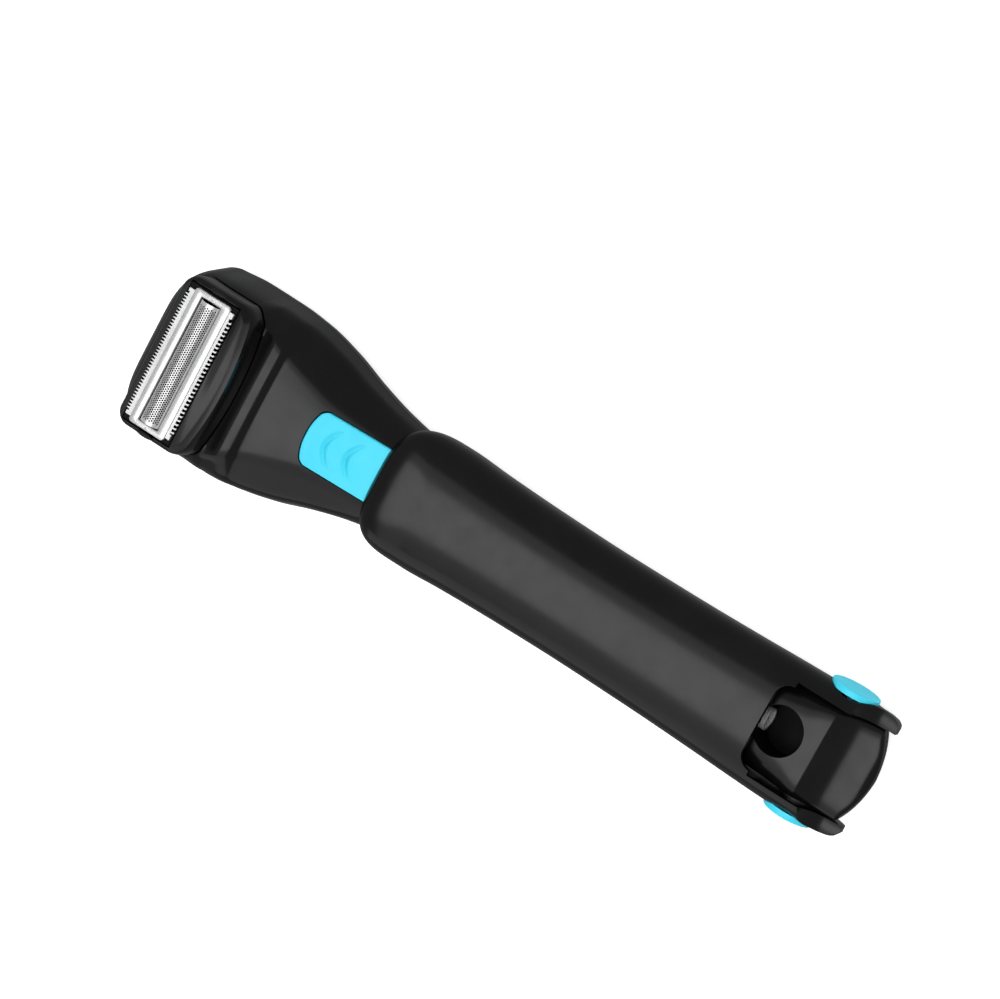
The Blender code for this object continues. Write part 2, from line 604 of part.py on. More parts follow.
def make_foil_cartridge():
    holder = box("foil_holder", (HOLDER_X0, -19.5, HOLDER_Z0), (HOLDER_X1, 19.5, HOLDER_Z1),
                 BLACK_MATTE)
    boolean(holder, box("holder_window", (HOLDER_X0 + HOLDER_WALL, -CARTRIDGE_WINDOW_Y, 25),
                        (HOLDER_X1 - HOLDER_WALL, CARTRIDGE_WINDOW_Y, 35)))
    frame = box("foil_frame", (HEAD_X - FRAME_HALF_X, -FRAME_HALF_Y, FRAME_Z0),
                (HEAD_X + FRAME_HALF_X, FRAME_HALF_Y, FRAME_Z1), STEEL)
    boolean(frame, box("frame_window", (HEAD_X - FRAME_WINDOW_X, -FRAME_WINDOW_Y, 30),
                       (HEAD_X + FRAME_WINDOW_X, FRAME_WINDOW_Y, 36)))

    bm = bmesh.new()
    steps = 12
    rows = []
    for y in (-17.2, 17.2):
        rows.append([bm.verts.new(Vector((HEAD_X + FOIL_RADIUS * math.cos(math.pi * i / steps), y,
                                          FOIL_AXIS_Z + FOIL_RADIUS * math.sin(math.pi * i / steps)))
                                  * MM) for i in range(steps + 1)])
    for i in range(steps):
        bm.faces.new((rows[0][i], rows[1][i], rows[1][i + 1], rows[0][i + 1]))
    foil = thicken(mesh_object("foil", bm, STEEL), -0.35)
    foil.modifiers["wall"].offset = 1.0
    shade(foil)

    for word, low, high in (("head_side", -7.4, -5.6), ("tail_side", 5.6, 6.9)):
        box(f"comb_{word}", (HEAD_X + low, -COMB_HALF_Y, COMB_Z0),
            (HEAD_X + high, COMB_HALF_Y, COMB_Z1), STEEL)


def make_cutters():
    carrier = box("cutter_carrier", (HEAD_X - 6.8, -CUTTER_HALF_Y, 28.9),
                  (HEAD_X + 6.3, CUTTER_HALF_Y, 30.9), WHITE_PLASTIC)
    boss = box("carrier_boss", (HEAD_X - 3, -4, 26.4), (HEAD_X + 3, 4, 29.4))
    boolean(carrier, boss, "UNION")
    boolean(carrier, box("carrier_slot", (HEAD_X - 5, -1.4, 20), (HEAD_X + 5, 1.4, 28.8)))
    for side, word in ((-1, "left"), (1, "right")):
        y = side * 10.0
        boolean(carrier, cylinder(f"spring_seat_{word}", 1.7, (HEAD_X, y, 29.3), 5, segments=20))
        coil(f"cutter_spring_{word}", 1.0, 0.14, 3, 29.5, 31.0, Matrix.Translation(
            Vector((HEAD_X, y, 0)) * MM))

    cutter = cylinder("foil_cutter", 2.2, (HEAD_X, -15.5, FOIL_AXIS_Z), 31.0, "Y", DARK_STEEL,
                      segments=28)
    boolean(cutter, box("cutter_base_cut", (HEAD_X - 5, -20, 25), (HEAD_X + 5, 20, 31.3)))
    for word, low, high in (("head_side", -6.8, -5.2), ("tail_side", 4.9, 6.2)):
        box(f"blade_{word}", (HEAD_X + low, -CUTTER_HALF_Y, 31.2),
            (HEAD_X + high, CUTTER_HALF_Y, 31.65), DARK_STEEL)


def make_head_deck():
    deck = outline_loft("head_deck", [(z, casing_outline(1.9, 3.3)) for z in (20.9, 22.1)], BLACK_MATTE)
    boolean(deck, cylinder("deck_opening", 4.6, (HEAD_X, 0, 15), 15, segments=32))
    seal = [(3.4, 22.9), (5.6, 22.9), (5.6, 22.4), (4.2, 22.4), (4.2, 20.4), (3.4, 20.4)]
    turned("drive_seal", seal, Matrix.Translation(Vector((HEAD_X, 0, 0)) * MM), RUBBER, closed=True)


# ---------------------------------------------------------------- drive
def make_drive():
    lever = box("drive_lever", (HEAD_X - 1, -3.4, 3.2), (HEAD_X + 1, 3.4, 15.5), WHITE_PLASTIC)
    boolean(lever, box("lever_neck", (HEAD_X - 1, -1.5, 14.5), (HEAD_X + 1, 1.5, 26.0)), "UNION")
    boolean(lever, cylinder("lever_tip", 1.05, (HEAD_X - 1, 0, LEVER_TOP_Z - 1.05), 2, "X",
                            segments=24), "UNION")
    boolean(lever, box("lever_stem", (HEAD_X - 1, -0.7, 25.5), (HEAD_X + 1, 0.7, 27.6)), "UNION")
    boolean(lever, cylinder("lever_bore", 1.1, (HEAD_X - 3, 0, LEVER_PIVOT_Z), 6, "X", segments=24))
    boolean(lever, box("lever_fork", (HEAD_X - 3, -1.45, MOTOR_Z - 2.2), (HEAD_X + 3, 1.45,
                                                                       MOTOR_Z + 2.2)))
    lever_origin = Vector((HEAD_X, 0, LEVER_PIVOT_Z)) * MM
    lever.data.transform(Matrix.Translation(lever.location - lever_origin))
    lever.location = lever_origin
    cylinder("lever_pin", 1.0, (HEAD_X - 2.4, 0, LEVER_PIVOT_Z), 8.3, "X", STEEL, segments=24)

    cam = cylinder("eccentric_cam", 3.0, (CAM_X, 0, MOTOR_Z), 2.2, "X", BRASS, segments=28)
    boolean(cam, cylinder("eccentric_pin", 0.8, (CAM_X - 3.5, CAM_ECCENTRICITY, MOTOR_Z), 4.2, "X",
                          segments=20), "UNION")
    boolean(cam, cylinder("cam_bore", SHAFT_RADIUS + GAP, (CAM_X + 0.8, 0, MOTOR_Z), 3, "X",
                          segments=20))
    cylinder("motor_shaft", SHAFT_RADIUS, (MOTOR_X - 3.8, 0, MOTOR_Z), 12, "X", STEEL, segments=20)

    can = cylinder("motor_can", MOTOR_RADIUS, (MOTOR_X, 0, MOTOR_Z), MOTOR_LENGTH, "X", STEEL,
                   segments=40, bevel=0.8)
    boolean(can, cylinder("can_bore", SHAFT_RADIUS + 0.35, (MOTOR_X - 1.5, 0, MOTOR_Z), 11, "X",
                          segments=20))
    cylinder("motor_end_cap", MOTOR_RADIUS - 0.4, (MOTOR_X + MOTOR_LENGTH + GAP, 0, MOTOR_Z), 2.0, "X",
             BLACK_MATTE, segments=32, bevel=0.4)
    bracket = box("motor_bracket", (MOTOR_X - 2.1, -11, 2.0), (MOTOR_X - GAP, 11, 19.2), BLACK_MATTE)
    boolean(bracket, cylinder("bracket_opening", 3.4, (-90, 0, MOTOR_Z), 10, "X", segments=28))
    boolean(bracket, cylinder("bracket_pin_hole", 1.15, (-90, 0, LEVER_PIVOT_Z), 10, "X", segments=20))


# ---------------------------------------------------------------- switch, power and charging
def switch_outline(x0, x1, half_width, grow):
    """Plan of the slide switch: a bowed head end and square tail corners."""
    outline = []
    bow, steps = 1.9, 12
    for i in range(steps + 1):
        t = -1 + 2 * i / steps
        outline.append((x0 - grow + bow * abs(t)**2.6, -t * (half_width + grow)))
    outline.append((x1 + grow, -(half_width + grow)))
    outline.append((x1 + grow, half_width + grow))
    return outline


def sloped_prism(name, outline, above, below, finish=None):
    """A slab that follows the front panel, between two offsets from its surface."""
    rings = [[(x, y, switch_plane(x) + offset) for x, y in outline] for offset in (below, above)]
    return ring_loft(name, rings, finish)


SWITCH_SLOPE = (panel_height(SWITCH_X1) - panel_height(SWITCH_X0)) / (SWITCH_X1 - SWITCH_X0)


def switch_plane(x):
    return panel_height(SWITCH_X0) + SWITCH_SLOPE * (x - SWITCH_X0)


def make_switch(front):
    slot = switch_outline(SWITCH_X0, SWITCH_X1 + SWITCH_TRAVEL, SWITCH_HALF_WIDTH, GAP)
    boolean(front, sloped_prism("switch_slot", slot, 6.0, -6.0))
    cap = sloped_prism("slide_switch", switch_outline(SWITCH_X0, SWITCH_X1, SWITCH_HALF_WIDTH, 0), 0.35,
                       -1.9, BLUE)
    edge = cap.modifiers.new("edge", "BEVEL")
    edge.width = 0.3 * MM
    edge.segments = 2
    rail_outline = [(-59.0, -8.2), (-29.5, -8.2), (-29.5, 8.2), (-59.0, 8.2)]
    rail = sloped_prism("switch_rail", rail_outline, -2.6, -3.4, BLACK_MATTE)
    boolean(rail, box("rail_slot", (-47.6, -1.9, 0), (-38.4, 1.9, 30)))
    box("switch_contact", (-47, -1.5, 14.4), (-43, 1.5, switch_plane(-43) - 2.3), BRASS)
    box("pcb", (-55, -8, 12.3), (-31, 8, 13.5), GREEN_BOARD)


def make_power(front):
    cylinder("cell", CELL_RADIUS, (CELL_X0, 0, CELL_Z), CELL_LENGTH, "X", CELL_WRAP, segments=36,
             bevel=0.6)
    for word, x in (("negative", CELL_X0 - 1.1), ("positive", CELL_X0 + CELL_LENGTH + 0.3)):
        box(f"contact_{word}", (x, -5, 4.5), (x + 0.8, 5, 14), STEEL)
    box("charge_board", (45, -7, 4.4), (60, 7, 5.6), GREEN_BOARD)

    boolean(front, cylinder("socket_hole", SOCKET_RADIUS, (SOCKET_X, 0, 10), 20, segments=48))
    cup = [(0, 6.6), (6.6, 6.6), (6.6, 15.8), (7.5, 15.8), (7.5, 5.6), (0, 5.6)]
    place = Matrix.Translation(Vector((SOCKET_X, 0, 0)) * MM)
    cup = turned("socket_cup", cup, place, BLACK_MATTE, steps=36)
    # The jack's sleeve comes through the head side of the cup.
    boolean(cup, cylinder("jack_window", 3.3, (JACK_X - 4, 0, JACK_Z), 5, "X", segments=36))
    along_x = Matrix.Translation(Vector((JACK_X, 0, JACK_Z)) * MM) @ AXIS_TURN["X"]
    turned("jack_ring", [(2.4, 1.1), (3.0, 1.1), (3.0, -1.1), (2.4, -1.1)], along_x, STEEL, closed=True)
    turned("jack_pin", [(0, 0.8), (0.4, 0.7), (0.6, 0.4), (0.6, -1.6), (0, -1.6)], along_x, BRASS,
           steps=16)


def main():
    front, rear = make_shells()
    make_screws()
    make_handle()
    make_hinge(front, rear)
    make_casing(front)
    make_foil_cartridge()
    make_cutters()
    make_head_deck()
    make_drive()
    make_switch(front)
    make_power(front)


main()
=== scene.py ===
"""Looks of the folding body groomer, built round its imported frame.

Lengths are in millimetres up to the point where a mesh is made, and turned into metres with MM. The
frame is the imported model's: head towards -X, hinge towards +X, foil facing +Z, resting on Z = 0.
"""
import json
import math

import bmesh
import bpy
from mathutils import Matrix, Vector


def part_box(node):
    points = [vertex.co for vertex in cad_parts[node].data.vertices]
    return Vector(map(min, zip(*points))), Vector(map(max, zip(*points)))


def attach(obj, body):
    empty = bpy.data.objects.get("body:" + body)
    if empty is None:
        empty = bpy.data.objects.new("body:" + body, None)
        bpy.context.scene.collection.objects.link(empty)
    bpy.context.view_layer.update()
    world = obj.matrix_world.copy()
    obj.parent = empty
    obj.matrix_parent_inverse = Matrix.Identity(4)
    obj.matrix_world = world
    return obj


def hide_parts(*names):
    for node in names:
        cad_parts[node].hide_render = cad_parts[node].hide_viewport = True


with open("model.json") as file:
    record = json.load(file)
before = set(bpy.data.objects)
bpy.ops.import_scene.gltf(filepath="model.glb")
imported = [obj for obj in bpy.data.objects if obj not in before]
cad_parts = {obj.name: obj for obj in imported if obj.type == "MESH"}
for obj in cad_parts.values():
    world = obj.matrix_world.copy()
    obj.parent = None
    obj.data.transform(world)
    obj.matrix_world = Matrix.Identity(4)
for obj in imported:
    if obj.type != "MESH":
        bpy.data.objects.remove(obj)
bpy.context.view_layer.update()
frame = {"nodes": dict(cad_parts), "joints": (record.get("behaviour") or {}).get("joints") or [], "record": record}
MM = 0.001


def reach(node):
    """Lowest and highest corner of a CAD node, in millimetres."""
    return tuple(Vector(corner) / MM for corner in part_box(node))


# ---------------------------------------------------------------- sizes read from the frame
FRONT_LOW, FRONT_HIGH = reach("front_shell")
REAR_HIGH = reach("rear_shell")[1]
HANDLE_HIGH = reach("handle")[1]
CASING_LOW, CASING_HIGH = reach("head_casing")
RIM_LOW, RIM_HIGH = reach("foil_frame")
FOIL_LOW, FOIL_HIGH = reach("foil")
CUTTER_LOW, CUTTER_HIGH = reach("foil_cutter")
SWITCH_LOW, SWITCH_HIGH = reach("slide_switch")
CUP_LOW, CUP_HIGH = reach("socket_cup")
BUTTON_HIGH = reach("release_button_right")[1]

NOSE_X, TAIL_X = FRONT_LOW.x, FRONT_HIGH.x
PARTING_Z = (FRONT_LOW.z + REAR_HIGH.z) / 2
HALF_GAP = (FRONT_LOW.z - REAR_HIGH.z) / 2
HEAD_X = (RIM_LOW.x + RIM_HIGH.x) / 2
HINGE = [joint for joint in frame["joints"] if joint["name"] == "handle_fold"][0]["pos_m"]
HINGE_X, HINGE_Z = HINGE[0] / MM, HINGE[2] / MM
SWITCH_X0, SWITCH_X1 = SWITCH_LOW.x, SWITCH_HIGH.x
SWITCH_HALF = SWITCH_HIGH.y
SWITCH_TRAVEL = 3.5
SOCKET_X = (CUP_LOW.x + CUP_HIGH.x) / 2

# ---------------------------------------------------------------- body shells: sizes and design curves
ACROSS = 44                # faces from a section's foot to its centre line
ARCH_STEPS = 64            # steps along an arch before it is resampled
WALL = 1.5
SOCKET_RADIUS = 6.4
HINGE_BORE_RADIUS = 4.35
SCREWS = ("screw_head_left", "screw_head_right", "screw_neck", "screw_tail")
SCREW_BOSS_RADIUS, SCREW_BORE_RADIUS, SCREW_COUNTERBORE_RADIUS = 3.2, 1.2, 2.3
SWITCH_BOW, SWITCH_CORNER = 1.9, 1.6
CASING_BULGE, CASING_CORNER = 2.8, 4.0
CASING_GAP = 0.25          # between the head casing and its pocket in the front shell
NOSE_LENGTH, NOSE_POWER = 10.4, 2.1
TAIL_ARC_RADIUS = 25.0

BODY_PLAN = [(-99.0, 24.2), (-91.0, 24.9), (-80.0, 24.8), (-70.8, 24.0), (-60.6, 21.7), (-50.4, 18.3),
             (-40.3, 15.6), (-30.0, 13.9), (-15.0, 13.0), (20.0, 12.7), (70.0, 12.6), (TAIL_X, 12.6)]
BODY_TOP = [(-99.0, 27.6), (-84.0, 27.6), (-81.5, 26.9), (-80.2, 26.1), (-79.3, 24.9), (-78.5, 24.4),
            (-77.4, 24.45), (-75.2, 24.85), (-74.2, 24.95), (-72.9, 24.7), (-72.0, 24.2), (-70.8, 23.0),
            (-69.6, 22.45), (-68.0, 22.15), (-55.4, 20.6), (-37.0, 18.4), (-25.0, 18.0), (60.0, 18.0),
            (84.0, 17.7), (95.0, 17.4), (96.3, 16.6), (98.6, 15.0), (101.0, 13.5), (105.0, 11.8),
            (108.0, 10.6), (TAIL_X, 9.6)]
REAR_DEPTH = [(NOSE_X, PARTING_Z + 0.7), (94.0, PARTING_Z + 0.7), (99.0, 8.9), (103.0, 6.9),
              (106.0, 4.8), (108.0, 3.0), (TAIL_X, 1.4)]
BODY_POWER = [(-99.0, 6.0), (-82.0, 6.0), (-70.0, 3.4), (-50.0, 3.0), (-30.0, 3.0), (70.0, 3.0),
              (82.0, 3.3), (90.0, 5.0), (96.0, 8.0), (TAIL_X, 7.0)]
BODY_TAPER = [(-99.0, 0.12), (-82.0, 0.13), (-70.0, 0.16), (-40.0, 0.10), (-20.0, 0.02), (TAIL_X, 0.0)]
# Half-width of the flat front panel, and how far its creases stand out from a plain arch
PANEL_HALF = [(-84.0, 20.5), (-75.0, 17.2), (-70.0, 14.4), (-62.0, 11.6), (-54.0, 9.6), (-36.0, 8.4)]
PANEL_SHARE = [(-84.0, 0.0), (-77.0, 1.0), (-46.0, 1.0), (-32.0, 0.0)]

# ---------------------------------------------------------------- handle: sizes and design curves
HANDLE_TIP_X = -36.7
EAR_START_X, EAR_END_X = 84.0, HANDLE_HIGH.x
EAR_RADIUS = 9.6
EAR_SCOOP_RADIUS, EAR_SCOOP_X, EAR_SCOOP_Z = 9.5, 108.0, 20.5
HANDLE_WALL = 1.7
TUCK_Z, TUCK_BEND, TUCK_SLOPE = 15.5, 0.012, 0.19    # how the side walls lean in below a height
HANDLE_DROP = 10.5         # height of the arch above the side walls
HANDLE_POWER, TIP_POWER = 3.2, 6.0
TIP_LENGTH, TIP_PLAN_POWER = 16.0, 3.4
TIP_ROOM_HALF, TIP_ROOM_Z = 14.1, 19.2
NOTCH_X, NOTCH_HALF_WIDTH, NOTCH_CORNER = 80.5, 11.6, 3.6
BUTTON_POCKET_RADIUS, BUTTON_POCKET_Y = 6.7, 14.1
EAR_OUTER_Y, EAR_INNER_Y = HANDLE_HIGH.y, 12.95
HANDLE_PLAN = [(HANDLE_TIP_X, 17.25), (-20.0, 17.25), (-8.0, 16.6), (10.0, 16.0), (27.0, 15.75),
               (48.0, 15.9), (66.0, 16.3), (81.0, 16.8), (95.0, 17.1), (103.5, 17.1),
               (106.2, 16.8), (107.7, 16.1), (EAR_END_X, 15.0)]
HANDLE_TOP = [(HANDLE_TIP_X, 21.8), (-30.0, 22.0), (-10.0, 21.8), (60.0, 21.4), (84.0, 21.2),
              (95.0, 20.8), (EAR_END_X, 20.0)]
HANDLE_RIM = [(HANDLE_TIP_X, 19.4), (-36.0, 18.8), (-35.0, 17.4), (-33.0, 15.0), (-29.0, 11.4),
              (-24.0, 9.4), (-16.0, 8.8), (60.0, 8.2), (80.0, 4.2), (88.0, 2.4), (99.0, 2.4),
              (103.0, 3.4), (106.0, 5.4), (EAR_END_X, 8.0)]


def smooth_value(table, x):
    """Smooth interpolation through a table of (x, value), with level ends and no overshoot."""
    if x <= table[0][0]:
        return table[0][1]
    if x >= table[-1][0]:
        return table[-1][1]
    slopes = [(b[1] - a[1]) / (b[0] - a[0]) for a, b in zip(table, table[1:])]
    tangents = [slopes[0]]
    for before, after in zip(slopes, slopes[1:]):
        tangents.append(2 * before * after / (before + after) if before * after > 0 else 0.0)
    tangents.append(slopes[-1])
    i = next(k for k in range(len(slopes)) if x <= table[k + 1][0])
    (x0, a), (x1, b) = table[i], table[i + 1]
    width = x1 - x0
    t = (x - x0) / width
    return (a * (2 * t**3 - 3 * t**2 + 1) + tangents[i] * width * (t**3 - 2 * t**2 + t)
            + b * (3 * t**2 - 2 * t**3) + tangents[i + 1] * width * (t**3 - t**2))


# ---------------------------------------------------------------- mesh helpers
def make_object(name, bm):
    """An object from a bmesh in millimetres."""
    bmesh.ops.scale(bm, vec=(MM, MM, MM), verts=bm.verts)
    mesh = bpy.data.meshes.new(name)
    bm.to_mesh(mesh)
    bm.free()
    obj = bpy.data.objects.new(name, mesh)
    bpy.context.scene.collection.objects.link(obj)
    return obj


def apply_modifiers(obj):
    """Replaces an object's mesh with what its modifiers make of it."""
    depsgraph = bpy.context.evaluated_depsgraph_get()
    mesh = bpy.data.meshes.new_from_object(obj.evaluated_get(depsgraph))
    obj.modifiers.clear()
    obj.data = mesh


def thicken(obj, thickness, even=False):
    """Gives a surface a wall on its inner side."""
    modifier = obj.modifiers.new("wall", "SOLIDIFY")
    modifier.thickness = thickness * MM
    modifier.offset = -1.0
    modifier.use_even_offset = even
    apply_modifiers(obj)


def combine(obj, tool, operation="DIFFERENCE"):
    """Cuts or joins tool into obj, and removes tool."""
    modifier = obj.modifiers.new("combine", "BOOLEAN")
    modifier.object = tool
    modifier.operation = operation
    modifier.solver = "MANIFOLD"
    apply_modifiers(obj)
    bpy.data.objects.remove(tool, do_unlink=True)


def smooth(obj, angle):
    """Smooth shading, with a crease where faces meet at more than an angle in degrees."""
    obj.data.shade_smooth()
    obj.data.set_sharp_from_angle(angle=math.radians(angle))


def round_edges(obj, width, segments, angle):
    """Bevels the edges that are sharper than an angle in degrees."""
    modifier = obj.modifiers.new("edge", "BEVEL")
    modifier.width = width * MM
    modifier.segments = segments
    modifier.limit_method = "ANGLE"
    modifier.angle_limit = math.radians(angle)
    modifier.harden_normals = False
    apply_modifiers(obj)


def loft(name, rings, capped=True):
    """A surface through rings of equal counts, with flat ends unless it is left open."""
    bm = bmesh.new()
    rows = [[bm.verts.new(point) for point in ring] for ring in rings]
    count = len(rows[0])
    for row, following in zip(rows, rows[1:]):
        for i in range(count):
            j = (i + 1) % count
            bm.faces.new((row[i], row[j], following[j], following[i]))
    if capped:
        bm.faces.new(list(reversed(rows[0])))
        bm.faces.new(rows[-1])
    bmesh.ops.recalc_face_normals(bm, faces=bm.faces)
    return make_object(name, bm)


def prism(name, outline, low, high):
    """A plan outline raised between two heights; a height may be a function of (x, y)."""
    def level(height):
        return [(x, y, height(x, y) if callable(height) else height) for x, y in outline]
    return loft(name, [level(low), level(high)])


def block(name, low, high):
    (x0, y0, z0), (x1, y1, z1) = low, high
    return prism(name, [(x0, y0), (x1, y0), (x1, y1), (x0, y1)], z0, z1)


def arc(centre, radius, start, end, steps):
    """Points on an arc in plan, from one angle to another in degrees."""
    points = []
    for i in range(steps + 1):
        angle = math.radians(start + (end - start) * i / steps)
        points.append((centre[0] + radius * math.cos(angle), centre[1] + radius * math.sin(angle)))
    return points


def rod(name, radius, start, length, axis="Z", steps=64):
    """A cylinder used as a cutter."""
    circle = arc((0, 0), radius, 0, 360 * (steps - 1) / steps, steps - 1)
    x, y, z = start
    rings = []
    for reach_along in (0, length):
        if axis == "X":
            rings.append([(x + reach_along, y + a, z + b) for a, b in circle])
        elif axis == "Y":
            rings.append([(x + b, y + reach_along, z + a) for a, b in circle])
        else:
            rings.append([(x + a, y + b, z + reach_along) for a, b in circle])
    return loft(name, rings)


def lathe(name, profile, place=None, steps=96, closed=False):
    """A solid turned about its own Z from (radius, height) points, then set in place."""
    bm = bmesh.new()
    rings = []
    for i in range(steps):
        angle = 2 * math.pi * i / steps
        rings.append([bm.verts.new((r * math.cos(angle), r * math.sin(angle), h)) for r, h in profile])
    spans = len(profile) if closed else len(profile) - 1
    for i in range(steps):
        ring, following = rings[i], rings[(i + 1) % steps]
        for k in range(spans):
            m = (k + 1) % len(profile)
            bm.faces.new((ring[k], ring[m], following[m], following[k]))
    bmesh.ops.remove_doubles(bm, verts=bm.verts, dist=0.0005)
    bmesh.ops.recalc_face_normals(bm, faces=bm.faces)
    if place is not None:
        bmesh.ops.transform(bm, matrix=place, verts=bm.verts)
    return make_object(name, bm)


def resample(points, count):
    """The same path with count + 1 points at equal distances along it."""
    lengths = [0.0]
    for a, b in zip(points, points[1:]):
        lengths.append(lengths[-1] + math.dist(a, b))
    total, result, k = lengths[-1], [], 0
    for i in range(count + 1):
        want = total * i / count
        while k < len(points) - 2 and lengths[k + 1] < want:
            k += 1
        span = lengths[k + 1] - lengths[k]
        t = (want - lengths[k]) / span if span > 1e-9 else 0.0
        result.append(tuple(p + (q - p) * t for p, q in zip(points[k], points[k + 1])))
    return result


def rounded_path(corners, steps=8):
    """A path through (point, radius) corners, with each corner rounded off."""
    path = [corners[0][0]]
    for (a, _), (v, radius), (b, _) in zip(corners, corners[1:], corners[2:]):
        near, far = math.dist(a, v), math.dist(b, v)
        cut = min(radius, near / 2, far / 2)
        start = [p + (q - p) * cut / max(near, 1e-6) for p, q in zip(v, a)]
        end = [p + (q - p) * cut / max(far, 1e-6) for p, q in zip(v, b)]
        for i in range(steps + 1):
            t = i / steps
            path.append(tuple(s * (1 - t)**2 + 2 * t * (1 - t) * c + e * t**2
                              for s, c, e in zip(start, v, end)))
    path.append(corners[-1][0])
    return path


def mirrored(half):
    """A whole section from its +Y half, which ends on the centre line."""
    return half + [(-y, z) for y, z in reversed(half[:-1])]


def skin(points):
    """An open surface through rows of points."""
    bm = bmesh.new()
    rows = [[bm.verts.new(point) for point in row] for row in points]
    for row, following in zip(rows, rows[1:]):
        for i in range(len(row) - 1):
            bm.faces.new((row[i], row[i + 1], following[i + 1], following[i]))
    bmesh.ops.remove_doubles(bm, verts=bm.verts, dist=0.01)
    bmesh.ops.dissolve_degenerate(bm, dist=0.005, edges=bm.edges)
    return bm


def spread(start, end, step):
    """Evenly spaced stations, close to a step apart, without the last."""
    count = max(1, round((end - start) / step))
    return [start + (end - start) * i / count for i in range(count)]


# ---------------------------------------------------------------- materials
class Finish:
    """A node material: a Principled shader with procedural colour, roughness and relief."""

    def __init__(self, name, **constants):
        self.material = bpy.data.materials.new(name)
        self.material.use_nodes = True
        self.tree = self.material.node_tree
        self.shader = self.tree.nodes["Principled BSDF"]
        for socket, value in constants.items():
            self.shader.inputs[socket.replace("_", " ")].default_value = value
        self.coordinates = self.tree.nodes.new("ShaderNodeTexCoord").outputs["Object"]
        self.relief = None

    def noise(self, size, stretch=(1, 1, 1), detail=3.0):
        """Noise whose features are about size millimetres across."""
        mapping = self.tree.nodes.new("ShaderNodeMapping")
        mapping.inputs["Scale"].default_value = stretch
        self.tree.links.new(self.coordinates, mapping.inputs["Vector"])
        texture = self.tree.nodes.new("ShaderNodeTexNoise")
        texture.inputs["Scale"].default_value = 1 / (size * MM)
        texture.inputs["Detail"].default_value = detail
        self.tree.links.new(mapping.outputs["Vector"], texture.inputs["Vector"])
        return texture.outputs["Fac"]

    def colours(self, value, *stops):
        """Base colour from a ramp of (position, colour) stops."""
        node = self.tree.nodes.new("ShaderNodeValToRGB")
        ramp = node.color_ramp
        ramp.elements[0].position, ramp.elements[0].color = stops[0][0], (*stops[0][1], 1)
        ramp.elements[1].position, ramp.elements[1].color = stops[-1][0], (*stops[-1][1], 1)
        for position, colour in stops[1:-1]:
            ramp.elements.new(position).color = (*colour, 1)
        self.tree.links.new(value, node.inputs["Fac"])
        self.tree.links.new(node.outputs["Color"], self.shader.inputs["Base Color"])

    def roughness(self, value, low, high):
        node = self.tree.nodes.new("ShaderNodeMapRange")
        node.inputs["From Min"].default_value = 0.3
        node.inputs["From Max"].default_value = 0.7
        node.inputs["To Min"].default_value = low
        node.inputs["To Max"].default_value = high
        self.tree.links.new(value, node.inputs["Value"])
        self.tree.links.new(node.outputs["Result"], self.shader.inputs["Roughness"])

    def bump(self, value, height):
        """Adds relief of a height in millimetres on top of what is already there."""
        node = self.tree.nodes.new("ShaderNodeBump")
        node.inputs["Distance"].default_value = height * MM
        self.tree.links.new(value, node.inputs["Height"])
        if self.relief is not None:
            self.tree.links.new(self.relief, node.inputs["Normal"])
        self.relief = node.outputs["Normal"]
        self.tree.links.new(self.relief, self.shader.inputs["Normal"])


def moulded_plastic(name, dark, light, low, high, grain=0.35, depth=0.004, **constants):
    """Moulded plastic: faint cloudiness, roughness that wanders, fine grain and long hairline scuffs."""
    finish = Finish(name, **constants)
    cloud = finish.noise(14.0)
    finish.colours(cloud, (0.35, dark), (0.65, light))
    finish.roughness(finish.noise(5.0, detail=5.0), low, high)
    finish.bump(finish.noise(grain, detail=4.0), depth)
    finish.bump(finish.noise(1.2, stretch=(0.06, 1, 1), detail=2.0), depth * 0.5)
    return finish.material


def drawn_metal(name, dark, light, low, high, along, depth=0.002, metallic=1.0, **constants):
    """Rolled or drawn metal: fine lines along one axis, with cloudy colour and roughness."""
    finish = Finish(name, Metallic=metallic, **constants)
    stretch = [1.0, 1.0, 1.0]
    stretch[along] = 0.04
    lines = finish.noise(0.18, stretch=stretch, detail=4.0)
    finish.colours(finish.noise(3.0, detail=4.0), (0.3, dark), (0.7, light))
    finish.roughness(lines, low, high)
    finish.bump(lines, depth)
    return finish.material


def grey(value, tint=0.0):
    """A grey, a little bluer where tint is above 0."""
    return (value, value, value * (1 + tint))


